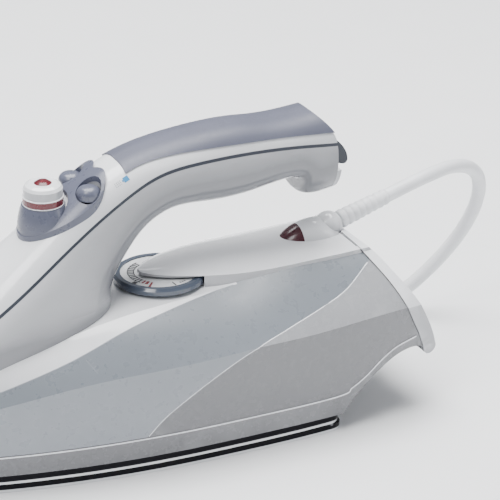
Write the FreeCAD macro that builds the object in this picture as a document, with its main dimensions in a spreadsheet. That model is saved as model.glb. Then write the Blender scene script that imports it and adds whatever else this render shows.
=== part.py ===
import FreeCAD, Part
import math
import os

import Sketcher
from FreeCAD import Placement, Rotation, Vector

# A steam iron with an open-ended handle, resting level on its soleplate.
# Frame: origin on the floor under the middle of the object, nose towards -X, heel towards +X,
# left and right along Y, +Z up, millimetres.

doc = FreeCAD.newDocument("steam_iron")
sheet = doc.addObject("Spreadsheet::Sheet", "sizes")

DRIVING = [
    ("overall_length", 276.0, "nose of the sole to the heel foot"),
    ("body_width", 100.0, "across the crease of the tank and skirt"),
    ("body_height", 83.0, "floor to the deck at the rear of the body"),
    ("handle_height", 153.0, "floor to the top of the grip"),
    ("handle_width", 35.0, "across the grip"),
    ("shell_wall", 2.2, "wall of every moulded shell"),
    ("sole_thickness", 3.2, "polished soleplate"),
    ("casting_top", 8.8, "top of the rim of the sole casting, above the floor"),
    ("casting_step", 1.0, "how far the casting stands in from the soleplate's edge"),
    ("core_top", 16.0, "top of the raised core of the sole casting"),
    ("seam_height", 20.0, "seam between the heat shield and the skirt"),
    ("fit_gap", 0.3, "gap between pieces that move past each other"),
    ("bearing_gap", 0.06, "radial clearance of a turning shaft"),
    ("dial_position", 7.5, "temperature dial axis along the iron"),
    ("dial_radius", 22.3, "outside of the dial rim"),
    ("dial_bottom", 79.6, "underside of the dial rim"),
    ("dial_rise", 3.6, "height of the dial rim"),
    ("rim_width", 3.5, "radial width of the dial rim"),
    ("scale_sink", 0.6, "scale disc below the rim's top"),
    ("shaft_radius", 2.5, "thermostat shaft"),
    ("sleeve_wall", 2.0, "wall of the shaft's sleeve through the tank"),
    ("hood_gap", 0.9, "air between the dial and the cover above it"),
    ("knob_position", -53.0, "steam regulator axis along the iron"),
    ("knob_radius", 9.4, "regulator cap"),
    ("knob_bottom", 131.3, "underside of the regulator's ring"),
    ("ring_rise", 3.8, "height of the regulator's ring"),
    ("cap_rise", 6.4, "height of the regulator's cap"),
    ("collar_radius", 11.6, "fixed collar under the regulator"),
    ("stem_radius", 3.5, "regulator stem"),
    ("valve_radius", 1.2, "steam valve rod"),
    ("valve_lift", 2.5, "travel of the steam valve rod"),
    ("button_position", -34.0, "spray and steam buttons along the iron"),
    ("button_spread", 9.5, "each button's distance from the middle"),
    ("button_radius", 5.8, "spray and steam buttons"),
    ("button_top", 138.5, "top of a button at rest"),
    ("button_rise", 9.0, "height of a button"),
    ("button_travel", 3.5, "how far a button goes down"),
    ("piston_radius", 3.6, "pump pistons"),
    ("barrel_wall", 1.6, "wall of the pump barrels"),
    ("barrel_top", 119.0, "top of the pump barrels"),
    ("barrel_length", 22.0, "length of the pump barrels"),
    ("ball_position", 100.5, "cord ball centre along the iron"),
    ("ball_height", 87.5, "cord ball centre above the floor"),
    ("ball_radius", 7.2, "cord ball"),
    ("relief_length", 34.0, "cord relief, from the ball's centre"),
    ("relief_tilt", 15.0, "cord relief above level, degrees"),
    ("cord_diameter", 7.0, "mains lead"),
    ("coil_radius", 38.5, "middle of the turns of the put-away lead"),
    ("lid_thickness", 2.4, "flap over the filling mouth"),
    ("mouth_width", 16.0, "filling mouth, across the iron"),
    ("screw_radius", 1.6, "self-tapping screws"),
]
for row, (alias, number, note) in enumerate(DRIVING, start=1):
    sheet.set(f"A{row}", alias)
    sheet.set(f"B{row}", str(number))
    sheet.set(f"C{row}", note)
    sheet.setAlias(f"B{row}", alias)
doc.recompute()

nodes = {}


def size(formula):
    """The number that a formula over the sheet's aliases gives, each written as sizes.alias."""
    return float(sheet.evalExpression(formula))


def cell(alias):
    return float(getattr(sheet, alias))


length = cell("overall_length")
wall = cell("shell_wall")
gap = cell("fit_gap")
stretch = length / 276.0
spread = cell("body_width") / 100.0
rise = cell("body_height") / 83.0
lift = cell("handle_height") - 153.0
girth = cell("handle_width") / 35.0


# ---------------------------------------------------------------- making pieces

def keep(label, piece):
    """Registers one finished sub-part under the name of its file."""
    piece.Label = label
    nodes[label] = piece
    return piece


def shaped(label, shape):
    """A sub-part whose free-form solid no workbench feature fits."""
    piece = doc.addObject("Part::Feature", label)
    piece.Shape = shape
    return keep(label, piece)


def bind(piece, formulas):
    for prop, formula in formulas.items():
        piece.setExpression(prop, formula)


def at(x="0", y="0", z="0"):
    return {"Placement.Base.x": x, "Placement.Base.y": y, "Placement.Base.z": z}


def origin_plane(body, role):
    return [plane for plane in body.Origin.OriginFeatures if plane.Role == role][0]


def sketch_on(body, name, role):
    sketch = body.newObject("Sketcher::SketchObject", name)
    sketch.AttachmentSupport = [(origin_plane(body, role), "")]
    sketch.MapMode = "FlatFace"
    return sketch


def draw_outline(sketch, corners):
    """A closed outline of straight lines whose corners are pairs of formulas."""
    places = [Vector(size(across), size(up), 0) for across, up in corners]
    count = len(places)
    for index in range(count):
        sketch.addGeometry(Part.LineSegment(places[index], places[(index + 1) % count]))
    for index in range(count):
        sketch.addConstraint(Sketcher.Constraint("Coincident", index, 2, (index + 1) % count, 1))
    for index, corner in enumerate(corners):
        for kind, formula, axis in (("DistanceX", corner[0], -2), ("DistanceY", corner[1], -1)):
            if formula == "0":
                sketch.addConstraint(Sketcher.Constraint("PointOnObject", index, 1, axis))
                continue
            number = sketch.addConstraint(Sketcher.Constraint(kind, -1, 1, index, 1, size(formula)))
            sketch.setExpression(f"Constraints[{number}]", formula)


def turned(label, corners, place):
    """A body of revolution about an upright axis; corners are (radius, height) formulas."""
    body = doc.addObject("PartDesign::Body", label)
    sketch = sketch_on(body, label + "_profile", "XZ_Plane")
    draw_outline(sketch, corners)
    turn = body.newObject("PartDesign::Revolution", label + "_turn")
    turn.Profile = sketch
    turn.ReferenceAxis = (sketch, ["V_Axis"])
    turn.Angle = 360
    bind(body, place)
    doc.recompute()
    return keep(label, body)


# ---------------------------------------------------------------- free-form shapes

def curve(points):
    """A smooth edge through its points, or a straight one between two."""
    places = [Vector(*point) for point in points]
    if len(places) == 2:
        return Part.LineSegment(*places).toShape()
    spline = Part.BSplineCurve()
    spline.interpolate(places)
    return spline.toShape()


def side_zone(stretches, half_width=120.0):
    """The solid behind a closed side-view outline, made of stretches of (x, z) points."""
    edges = [curve([(x, -half_width, z) for x, z in points]) for points in stretches]
    face = Part.Face(Part.Wire(edges))
    return face.extrude(Vector(0, 2 * half_width, 0))


def plan_zone(stretches, low, high):
    edges = [curve([(x, y, low) for x, y in points]) for points in stretches]
    face = Part.Face(Part.Wire(edges))
    return face.extrude(Vector(0, 0, high - low))


def along(x):
    return x * stretch


def up(z):
    return z * rise


def raised(z):
    """Heights above the body follow the handle's own height."""
    return z + lift if z > 100 else z


# One row per station along the body, nose to heel: place, half width at the floor side, at the
# crease and at the shoulder, then the heights of the crease, the shoulder and the deck.
BODY_STATIONS = [
    (-137, 3, 3, 2, 16, 23, 24),
    (-131, 9, 9.5, 6, 26, 41, 43),
    (-118, 17, 19, 12, 37, 54, 57),
    (-98, 25, 29, 19, 45, 62, 65),
    (-70, 33, 38, 24, 51, 68, 71),
    (-35, 40, 45, 25, 55, 75, 77.2),
    (0, 44, 49, 24, 56, 77.5, 78.8),
    (30, 45.5, 50, 22, 57, 78.2, 79.3),
    (50, 46, 50, 21, 57, 80.5, 81.8),
    (80, 46, 49.5, 21, 57.5, 81.5, 79),
    (108, 44, 46.5, 21, 57.5, 81.5, 77.5),
    (142, 38, 40, 20, 56, 80, 76),
]


def body_section(station, inset):
    x, low, crease, shoulder, crease_z, shoulder_z, deck_z = station
    low_half = max(low * spread - inset, 0.6)
    crease_half = max(crease * spread - inset, 0.6)
    shoulder_half = max(shoulder * spread - 0.6 * inset, 0.5)
    base = cell("casting_top")
    heights = (base, up(crease_z), up(shoulder_z) - 0.9 * inset, up(deck_z) - inset)
    place = along(x)
    corners = [
        (low_half, heights[0]),
        (crease_half, heights[1]),
        (shoulder_half, heights[2]),
    ]
    bulges = [0.6, 1.6]
    edges = []
    for (a, b, bulge) in zip(corners, corners[1:], bulges):
        swell = min(bulge, 0.15 * a[0])
        middle = (0.5 * (a[0] + b[0]) + swell, 0.5 * (a[1] + b[1]) + 0.4 * swell)
        ends = [Vector(place, a[0], a[1]), Vector(place, *middle), Vector(place, b[0], b[1])]
        edges.append(Part.Arc(*ends).toShape())
    crown = [
        Vector(place, shoulder_half, heights[2]),
        Vector(place, 0, heights[3]),
        Vector(place, -shoulder_half, heights[2]),
    ]
    edges.append(Part.Arc(*crown).toShape())
    for edge in reversed(edges[:2]):
        start, middle, end = (Vector(p.x, -p.y, p.z) for p in
                              (edge.valueAt(edge.LastParameter),
                               edge.valueAt(0.5 * (edge.FirstParameter + edge.LastParameter)),
                               edge.valueAt(edge.FirstParameter)))
        edges.append(Part.Arc(start, middle, end).toShape())
    closing = (Vector(place, -low_half, base), Vector(place, low_half, base))
    edges.append(Part.LineSegment(*closing).toShape())
    return Part.Wire(edges)


def body_form(inset):
    """The whole body's outer form drawn in by inset, open neither side, from the sole up."""
    wires = []
    for station in BODY_STATIONS:
        wires.append(body_section(station, inset))
    return Part.makeLoft(wires, True, False)


# One row per station from the neck's foot to the handle's free end: the section's top point,
# its bottom point (both x, z) and its half width.
HANDLE_STATIONS = [
    (-124, 52, -40, 52, 24),
    (-114, 76, -26, 70, 26),
    (-90, 98, -22, 83, 24.5),
    (-64, 117, -18, 94, 21),
    (-42, 132, -10.5, 104.5, 19),
    (-22, 144, -3, 112, 18),
    (-3, 150, 7, 117, 17.5),
    (22, 153, 21, 118, 17.5),
    (50, 153, 50, 117.5, 17.5),
    (80, 151.5, 80, 118, 17.5),
    (102, 150.5, 102, 111, 16.5),
]
SECTION_POINTS = 16


def handle_section(station, inset):
    top_x, top_z, low_x, low_z, half = station
    top = Vector(along(top_x), 0, raised(top_z))
    low = Vector(along(low_x), 0, raised(low_z))
    middle = (top + low) * 0.5
    reach = top.sub(low)
    tall = 0.5 * reach.Length - inset
    wide = half * girth - inset
    upward = reach.normalize()
    places = []
    for index in range(SECTION_POINTS):
        turn = 2 * math.pi * index / SECTION_POINTS
        squareness = 2.0 / 2.5
        side = math.copysign(abs(math.sin(turn)) ** squareness, math.sin(turn))
        height = math.copysign(abs(math.cos(turn)) ** squareness, math.cos(turn))
        places.append(middle + upward * (tall * height) + Vector(0, wide * side, 0))
    spline = Part.BSplineCurve()
    spline.interpolate(Points=places, PeriodicFlag=True)
    return Part.Wire(spline.toShape())


def handle_form(inset):
    return Part.makeLoft([handle_section(station, inset) for station in HANDLE_STATIONS], True, False)


def side(points):
    """Side-view points in the object's frame, stretched with the body and the handle."""
    return [(along(x), raised(z) if z > 100 else up(z)) for x, z in points]


# Side-view lines, nose to heel.
SEAM_X = 80
floor_line = cell("casting_top")
seam_z = cell("seam_height") / rise
skirt_seam = [(SEAM_X, seam_z), (96, 27.5), (105, 34), (114, 38.3), (127, 40.3), (150, 41)]
arch = [(84, floor_line / rise), (91, 18), (102, 27), (112, 32.5), (124, 34.5), (133, 31.5)]
tank_foot = [(-22, seam_z), (-11, 31), (10, 45), (32, 56), (52, 61), (72, 65.5), (90, 70),
             (109, 78)]
tank_brow = [(-150, 27), (-118, 44), (-90, 54), (-57, 63.5), (-27, 71.6), (0, 75.6), (38, 78.5)]
heel_seam = [(101, 91), (109, 78), (116, 66), (123, 50.5), (128.5, 38.6), (131.2, 30)]
heel_back = [(104, 89.5), (107, 86), (112, 81), (118, 72.5), (126, 60.5), (131, 51), (137, 37),
             (138, 33.2)]
handle_seam = [(-150, 44), (-118, 66), (-90, 86), (-67, 101.5), (-43, 117.5), (-19, 132),
               (0, 140), (20, 142.3), (50, 142), (80, 139.5), (110, 136)]
handle_end = [(82, 158), (88, 151), (92, 146.3), (94.5, 142), (95.5, 137), (96, 124), (95.6, 105)]
grip_line = [(-16, 143.5), (-7, 146.4), (8, 148.2), (35, 147.8), (66, 146), (110, 142.5)]

LOW = -20.0
HIGH = 240.0
WIDE = (-90.0, 90.0)
FRONT = along(-170)
BACK = along(170)


def shift(points, drop):
    return [(x, z - drop) for x, z in points]


def band_below(line):
    """Everything under a nose-to-heel line that runs on to the ends of the space."""
    first, last = line[0], line[-1]
    return side_zone([
        line,
        [last, (BACK, last[1])],
        [(BACK, last[1]), (BACK, LOW)],
        [(BACK, LOW), (FRONT, LOW)],
        [(FRONT, LOW), (FRONT, first[1])],
        [(FRONT, first[1]), first],
    ])


heel_line = side(heel_seam)
before_heel = side_zone([
    heel_line,
    [heel_line[-1], (heel_line[-1][0], LOW)],
    [(heel_line[-1][0], LOW), (FRONT, LOW)],
    [(FRONT, LOW), (FRONT, HIGH)],
    [(FRONT, HIGH), (heel_line[0][0], HIGH)],
    [(heel_line[0][0], HIGH), heel_line[0]],
])
seam_line = side(skirt_seam)
under_seam = side_zone([
    seam_line,
    [seam_line[-1], (BACK, LOW)],
    [(BACK, LOW), (FRONT, LOW)],
    [(FRONT, LOW), (FRONT, seam_line[0][1])],
    [(FRONT, seam_line[0][1]), seam_line[0]],
])
arch_line = side(arch)
under_arch = side_zone([
    arch_line,
    [arch_line[-1], (BACK, arch_line[-1][1])],
    [(BACK, arch_line[-1][1]), (BACK, LOW)],
    [(BACK, LOW), (arch_line[0][0], LOW)],
    [(arch_line[0][0], LOW), arch_line[0]],
])
foot_line = side(tank_foot)


def under_tank(drop):
    line = shift(foot_line, drop)
    last = line[-1]
    end = (last[0] + along(6), last[1] + up(16))
    return side_zone([
        line,
        [last, end],
        [end, (BACK, end[1])],
        [(BACK, end[1]), (BACK, LOW)],
        [(BACK, LOW), (line[0][0], LOW)],
        [(line[0][0], LOW), line[0]],
    ])


brow_line = side(tank_brow)


def over_brow(drop):
    """The front housing's side of the line between it and the tank."""
    line = shift(brow_line, drop)
    end = line[-1]
    return side_zone([
        line,
        [end, (end[0], HIGH)],
        [(end[0], HIGH), (line[0][0], HIGH)],
        [(line[0][0], HIGH), line[0]],
    ])


dial_x = cell("dial_position")
knob_x = cell("knob_position")
button_x = cell("button_position")
button_y = cell("button_spread")
body_outer = body_form(0.0)
body_inner = body_form(wall)
handle_outer_full = handle_form(0.0)
handle_inner_full = handle_form(wall)
end_line = side(handle_end)
handle_space = side_zone([
    end_line,
    [end_line[-1], (end_line[-1][0], LOW)],
    [(end_line[-1][0], LOW), (FRONT, LOW)],
    [(FRONT, LOW), (FRONT, HIGH)],
    [(FRONT, HIGH), (end_line[0][0], HIGH)],
    [(end_line[0][0], HIGH), end_line[0]],
])
inner_space = handle_space.copy()
inner_space.translate(Vector(-wall, 0, 0))
handle_outer = handle_outer_full.common(handle_space)
handle_inner = handle_inner_full.common(inner_space)


HEEL_FOOT = [(138, 33.2), (136.5, 28.6), (133.2, 28.2), (131.2, 30)]
BEAK = [(94, 139.2), (99, 136.5), (103, 132.5), (105.4, 128), (105.9, 124.6)]
BEAK_FLOOR = [(105.9, 124.6), (105, 123.3), (99.6, 124.2), (94, 123.6)]
HALF_SEAM = 0.8
BEAK_HALF = 9.0

upright = Vector(0, 0, 1)
wall_under = cell("casting_top") + wall


def upright_rod(radius, x, y, low, high):
    return Part.makeCylinder(radius, high - low, Vector(x, y, low), upright)


def slab(x_range, y_range, z_range):
    corner = Vector(x_range[0], y_range[0], z_range[0])
    sides = (x_range[1] - x_range[0], y_range[1] - y_range[0], z_range[1] - z_range[0])
    return Part.makeBox(*sides, corner)


def moved(shape, x=0.0, y=0.0, z=0.0):
    copy = shape.copy()
    copy.translate(Vector(x, y, z))
    return copy


def top_at(shape, x, y):
    """Height of a shape's upper surface over one place."""
    needle = upright_rod(0.05, x, y, LOW, HIGH).common(shape)
    return needle.optimalBoundingBox().ZMax


def biggest(shape):
    """The main solid of a boolean result, without the slivers beside it."""
    return max(shape.Solids, key=lambda solid: solid.Volume)


ARC_SHARE = 0.45


def swept(path, radius, start, direction):
    ring = Part.Wire(Part.makeCircle(radius, start, direction))
    return path.makePipeShell([ring], True, False)


def routed(name, points, radius):
    """A round tube along straight runs joined by tangent arcs as large as the runs allow."""
    places = [Vector(*point) for point in points]
    edges = []
    bends = []
    start = places[0]
    for before, here, after in zip(places, places[1:], places[2:]):
        back = before.sub(here)
        ahead = after.sub(here)
        reach = ARC_SHARE * min(back.Length, ahead.Length)
        half_turn = 0.5 * (math.pi - back.getAngle(ahead))
        bend = reach / math.tan(half_turn)
        bends.append(bend)
        first = here + back.normalize() * reach
        last = here + ahead.normalize() * reach
        inward = (back + ahead).normalize()
        middle = here + inward * (bend / math.cos(half_turn) - bend)
        edges.append(Part.LineSegment(start, first).toShape())
        edges.append(Part.Arc(first, middle, last).toShape())
        start = last
    edges.append(Part.LineSegment(start, places[-1]).toShape())
    path_length = sum(edge.Length for edge in edges)
    solid = swept(Part.Wire(edges), radius, places[0], places[1].sub(places[0]))
    share = solid.Volume / (math.pi * radius ** 2 * path_length)
    print(f"{name}: length {path_length:.0f} mm, volume share {share:.3f}, bend radii "
          + ", ".join(f"{bend:.0f}" for bend in bends))
    return solid


# ---------------------------------------------------------------- sole

SOLE_PLAN = [(-138, 0), (-131, 8.4), (-118, 16.3), (-98, 24.3), (-70, 32.4), (-35, 39.5),
             (0, 43.4), (30, 44.9), (60, 45.5), (78, 45)]
SOLE_CORNER = [(78, 45), (83.5, 42.5), (85.5, 37)]
SOLE_REAR = [(85.5, 37), (87, 0)]


def plan(points):
    return [(along(x), y * spread) for x, y in points]


def mirrored(points):
    return [(x, -y) for x, y in reversed(points)]


def drawn_in(points, inset):
    """Half of a plan outline that starts and ends on the centre line, moved inwards square to itself."""
    ahead = (points[1][0], -points[1][1])
    behind = (points[-2][0], -points[-2][1])
    ring = [ahead] + points + [behind]
    moved_points = []
    for before, here, after in zip(ring, ring[1:], ring[2:]):
        run = (after[0] - before[0], after[1] - before[1])
        reach = math.hypot(*run)
        moved_points.append((here[0] + inset * run[1] / reach, here[1] - inset * run[0] / reach))
    return moved_points


def sole_wire(inset, height, nose):
    """The sole's plan outline drawn in by inset; nose, if given, replaces its first three points."""
    half = plan(SOLE_PLAN + SOLE_CORNER[1:] + SOLE_REAR[1:2])
    half = drawn_in(half, inset)
    count = len(SOLE_PLAN)
    flank = (plan(nose) + half[3:count]) if nose else half[:count]
    corner = half[count - 1:count + 2]
    rear = [corner[-1], half[-1], (corner[-1][0], -corner[-1][1])]
    stretches = [flank, corner, rear, mirrored(corner), mirrored(flank)]
    return Part.Wire([curve([(x, y, height) for x, y in points]) for points in stretches])


def sole_prism(inset, low, high, nose=()):
    return Part.Face(sole_wire(inset, low, nose)).extrude(Vector(0, 0, high - low))


sole_top = cell("sole_thickness")
rim_top = cell("casting_top")
core_top = cell("core_top")
CORE_INSET = 7.5
CORE_NOSE = [(-113, 0), (-106, 9)]
HOLE_RADIUS = 1.1
HOLE_INSET = 12.0
HOLE_COUNT = 9
ELEMENT_RADIUS = 3.5
ELEMENT_SPAN = 20.0
ELEMENT_BEND = -45.0
ELEMENT_END = 72.0
ELEMENT_HEIGHT = 12.2

holes = []
for index in range(HOLE_COUNT):
    hole_x = along(-112 + 19 * index)
    half = [y for x, y in plan(SOLE_PLAN) if x <= hole_x][-1] - HOLE_INSET * spread
    for hand in (-1, 1):
        if half > 3:
            holes.append(upright_rod(HOLE_RADIUS, hole_x, hand * half, LOW, sole_top + 1))
            holes.append(upright_rod(HOLE_RADIUS, hole_x + 7, 0.45 * hand * half, LOW, sole_top + 1))
sole = sole_prism(0, 0, sole_top)
shaped("soleplate", sole.cut(holes))

element_path = Part.Wire([
    Part.LineSegment(Vector(ELEMENT_END, -ELEMENT_SPAN, ELEMENT_HEIGHT),
                     Vector(ELEMENT_BEND, -ELEMENT_SPAN, ELEMENT_HEIGHT)).toShape(),
    Part.Arc(Vector(ELEMENT_BEND, -ELEMENT_SPAN, ELEMENT_HEIGHT),
             Vector(ELEMENT_BEND - ELEMENT_SPAN, 0, ELEMENT_HEIGHT),
             Vector(ELEMENT_BEND, ELEMENT_SPAN, ELEMENT_HEIGHT)).toShape(),
    Part.LineSegment(Vector(ELEMENT_BEND, ELEMENT_SPAN, ELEMENT_HEIGHT),
                     Vector(ELEMENT_END, ELEMENT_SPAN, ELEMENT_HEIGHT)).toShape(),
])


element = swept(element_path, ELEMENT_RADIUS, Vector(ELEMENT_END, -ELEMENT_SPAN, ELEMENT_HEIGHT),
                Vector(1, 0, 0))
BLOCK_X = (98.0, 110.0)
BLOCK_HALF = 11.0
BLOCK_Z = (up(44), up(54))
LEAD_RADIUS = 1.0
leads = []
for hand in (-1, 1):
    leads.append(routed("inner lead", [
        (BLOCK_X[0] + 2, hand * 9, up(49)),
        (91, hand * 13, up(44)),
        (86.5, hand * ELEMENT_SPAN, up(27)),
        (81, hand * ELEMENT_SPAN, ELEMENT_HEIGHT + 2),
        (ELEMENT_END, hand * ELEMENT_SPAN, ELEMENT_HEIGHT),
    ], LEAD_RADIUS))
inner_leads = Part.makeCompound(leads)
shaped("inner_leads", inner_leads)
shaped("heating_element", element.cut(inner_leads))

CHAMBER_X = (-58.0, -16.0)
CHAMBER_HALF = 12.0
CHAMBER_FLOOR = 11.0
LIP = 3.0
SEAL_THICKNESS = 0.8
COVER_THICKNESS = 1.5
chamber = slab(CHAMBER_X, (-CHAMBER_HALF, CHAMBER_HALF), (CHAMBER_FLOOR, core_top + 1))
lip_x = (CHAMBER_X[0] - LIP, CHAMBER_X[1] + LIP)
lip_half = CHAMBER_HALF + LIP
seal = slab(lip_x, (-lip_half, lip_half), (core_top, core_top + SEAL_THICKNESS)).cut(
    slab(CHAMBER_X, (-CHAMBER_HALF, CHAMBER_HALF), (core_top, core_top + 1)))
cover_low = core_top + SEAL_THICKNESS
cover_top = cover_low + COVER_THICKNESS
valve_way = upright_rod(cell("valve_radius") + 2 * gap, knob_x, 0, CHAMBER_FLOOR, HIGH)
chamber_lid = slab(lip_x, (-lip_half, lip_half), (cover_low, cover_top)).cut(valve_way)
shaped("chamber_seal", seal)
shaped("chamber_cover", chamber_lid)

SCREW_PLACES = [(60, 40.5), (0, 38.5), (-70, 27.8)]
SCREW_HEAD_RADIUS = 2.6
SCREW_HEAD = 2.0
SCREW_DEPTH = 4.5
screw_radius = cell("screw_radius")
screws = []
for screw_x, screw_y in plan(SCREW_PLACES):
    for hand in (-1, 1):
        shank = upright_rod(screw_radius, screw_x, hand * screw_y, rim_top - SCREW_DEPTH, wall_under)
        head = upright_rod(SCREW_HEAD_RADIUS, screw_x, hand * screw_y, wall_under,
                           wall_under + SCREW_HEAD)
        screws.append(shank.fuse(head))
sole_screws = Part.makeCompound(screws)
shaped("sole_screws", sole_screws)

casting = sole_prism(cell("casting_step"), sole_top, rim_top)
casting = casting.fuse(sole_prism(CORE_INSET, rim_top, core_top, CORE_NOSE))
casting = casting.cut([element, chamber, sole_screws, inner_leads])
shaped("sole_casting", casting)

# ---------------------------------------------------------------- thermostat and dial

THERMOSTAT_RADIUS = 10.0
THERMOSTAT_RISE = 8.0
SHAFT_DEPTH = 4.0
thermostat_place = at("sizes.dial_position", "0", "sizes.core_top")
turned("thermostat", [
    ("0", "0"), (str(THERMOSTAT_RADIUS), "0"), (str(THERMOSTAT_RADIUS), "5"), ("6", "6"),
    ("6", str(THERMOSTAT_RISE)),
    ("sizes.shaft_radius + sizes.bearing_gap", str(THERMOSTAT_RISE)),
    ("sizes.shaft_radius + sizes.bearing_gap", str(THERMOSTAT_RISE - SHAFT_DEPTH)),
    ("0", str(THERMOSTAT_RISE - SHAFT_DEPTH)),
], thermostat_place)
SHAFT_TOP = "(sizes.dial_bottom + sizes.dial_rise - sizes.scale_sink - sizes.core_top - 0.6)"
turned("thermostat_shaft", [
    ("0", str(THERMOSTAT_RISE - SHAFT_DEPTH)),
    ("sizes.shaft_radius", str(THERMOSTAT_RISE - SHAFT_DEPTH)),
    ("sizes.shaft_radius", SHAFT_TOP), ("0", SHAFT_TOP),
], thermostat_place)
dial_place = at("sizes.dial_position", "0", "sizes.dial_bottom")
turned("dial_rim", [
    ("sizes.dial_radius - sizes.rim_width", "0"), ("sizes.dial_radius - 0.5", "0"),
    ("sizes.dial_radius", "0.5"), ("sizes.dial_radius", "sizes.dial_rise - 1.2"),
    ("sizes.dial_radius - 1.2", "sizes.dial_rise"),
    ("sizes.dial_radius - sizes.rim_width", "sizes.dial_rise"),
], dial_place)
turned("dial_scale", [
    ("sizes.shaft_radius", "0.4"), ("sizes.dial_radius - sizes.rim_width", "0.4"),
    ("sizes.dial_radius - sizes.rim_width", "sizes.dial_rise - sizes.scale_sink"),
    ("0", "sizes.dial_rise - sizes.scale_sink"),
    ("0", "sizes.dial_rise - sizes.scale_sink - 0.6"),
    ("sizes.shaft_radius", "sizes.dial_rise - sizes.scale_sink - 0.6"),
], dial_place)

FUSE_RADIUS = 2.2
FUSE_RANGE = (26.0, 40.0)
fuse_solid = Part.makeCylinder(FUSE_RADIUS, FUSE_RANGE[1] - FUSE_RANGE[0],
                               Vector(FUSE_RANGE[0], 0, core_top + FUSE_RADIUS), Vector(1, 0, 0))
shaped("thermal_fuse", fuse_solid)

# ---------------------------------------------------------------- body shells

shaft_hole = cell("shaft_radius") + 2 * gap
sleeve_radius = shaft_hole + cell("sleeve_wall")
shaft_way = upright_rod(shaft_hole, dial_x, 0, LOW, HIGH)

skirt = body_outer.common(under_tank(0)).common(before_heel).cut(under_seam)
skirt = skirt.cut(body_inner.common(under_tank(wall))).cut(shaft_way)
shaped("body_skirt", biggest(skirt))

over_line = band_below(brow_line)
tank_space = before_heel.cut([under_tank(0), over_brow(0), under_seam])
hollow_space = before_heel.cut([under_tank(-wall), over_brow(wall), moved(under_seam, z=wall)])
sleeve = upright_rod(sleeve_radius, dial_x, 0, LOW, HIGH)
tank_hollow = body_inner.common(hollow_space).common(moved(before_heel, x=-wall)).cut(sleeve)
SEAT_RADIUS = 4.5
SEAT_TOP = 6.0
seat_hole = upright_rod(SEAT_RADIUS, knob_x, 0, LOW, cell("seam_height") + SEAT_TOP)
mouth_half = 0.5 * cell("mouth_width")
MOUTH_X = side([(-105, 0), (-93, 0)])
mouth_x = (MOUTH_X[0][0], MOUTH_X[1][0])
CHUTE_FOOT = up(44)
passage = slab(mouth_x, (-mouth_half, mouth_half), (CHUTE_FOOT, HIGH))
tank = body_outer.common(tank_space).cut([tank_hollow, shaft_way, seat_hole, passage, valve_way])
shaped("water_tank", biggest(tank))

front_outer = body_outer.common(over_brow(0)).fuse(handle_outer.cut(over_line))
front_inner = body_inner.fuse(handle_inner)
seam_side = side(handle_seam)
below_seam = band_below(shift(seam_side, HALF_SEAM))
below_inlay = band_below(shift(seam_side, -HALF_SEAM))

BOSS_PLACES = (25.0, 70.0)
BOSS_RADIUS = 3.6
bosses = [upright_rod(BOSS_RADIUS, along(x), 0, 100, HIGH) for x in BOSS_PLACES]
boss_solid = bosses[0].fuse(bosses[1:]).common(handle_inner)
HANDLE_SCREW_LENGTH = 17.0
screw_foot = raised(119.0)
screw_tip = screw_foot + HANDLE_SCREW_LENGTH
handle_screws = []
screw_ways = []
for place in BOSS_PLACES:
    x = along(place)
    shank = upright_rod(screw_radius, x, 0, screw_foot, screw_tip)
    head = upright_rod(SCREW_HEAD_RADIUS, x, 0, screw_foot - 0.4, screw_foot + SCREW_HEAD)
    handle_screws.append(shank.fuse(head))
    screw_ways.append(upright_rod(SCREW_HEAD_RADIUS, x, 0, raised(100), screw_foot + SCREW_HEAD))
    screw_ways.append(upright_rod(screw_radius, x, 0, raised(100), screw_tip))
shaped("handle_screws", Part.makeCompound(handle_screws))

stem_way = upright_rod(cell("stem_radius") + gap, knob_x, 0, raised(95), HIGH)
shell_low = front_outer.common(below_seam).cut(front_inner)
shell_low = shell_low.fuse(boss_solid.common(below_inlay)).cut([shaft_way, passage] + screw_ways)
shaped("front_housing", biggest(shell_low))

# ---------------------------------------------------------------- handle pieces

GRIP_PROUD = 0.6
GRIP_DEPTH = 1.4
grip_side = side(grip_line)
grip_region = side_zone([
    grip_side,
    [grip_side[-1], (grip_side[-1][0], HIGH)],
    [(grip_side[-1][0], HIGH), (grip_side[0][0], HIGH)],
    [(grip_side[0][0], HIGH), grip_side[0]],
])
grip = handle_form(-GRIP_PROUD).common(moved(handle_space, x=GRIP_PROUD)).common(grip_region)
grip = grip.cut(handle_form(GRIP_DEPTH).common(moved(handle_space, x=-GRIP_DEPTH)))
grip = biggest(grip)
shaped("soft_grip", grip)

PAD_PROUD = 2.2
PAD_HALF = [(-66, 0), (-62, 9), (-52, 14), (-40, 16), (-29, 14.5), (-24.5, 8), (-27, 0)]
pad_half = [(knob_x + 53 + x, y * girth) for x, y in PAD_HALF]
pad_floor = raised(101)
pad_zone = plan_zone([pad_half, mirrored(pad_half)], pad_floor, HIGH)
collar_radius = cell("collar_radius")
collar_way = upright_rod(collar_radius, knob_x, 0, pad_floor - 1, HIGH)
button_radius = cell("button_radius")
button_ways = [upright_rod(button_radius + gap, button_x, hand * button_y, pad_floor, HIGH)
               for hand in (-1, 1)]
button_rooms = [upright_rod(button_radius + 2 * gap, button_x, hand * button_y, pad_floor, HIGH)
                for hand in (-1, 1)]
pad = handle_form(-PAD_PROUD).common(pad_zone).cut([handle_outer, collar_way] + button_ways)
pad = pad.cut(band_below(shift(seam_side, -3)))
shaped("button_pad", biggest(pad))

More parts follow.
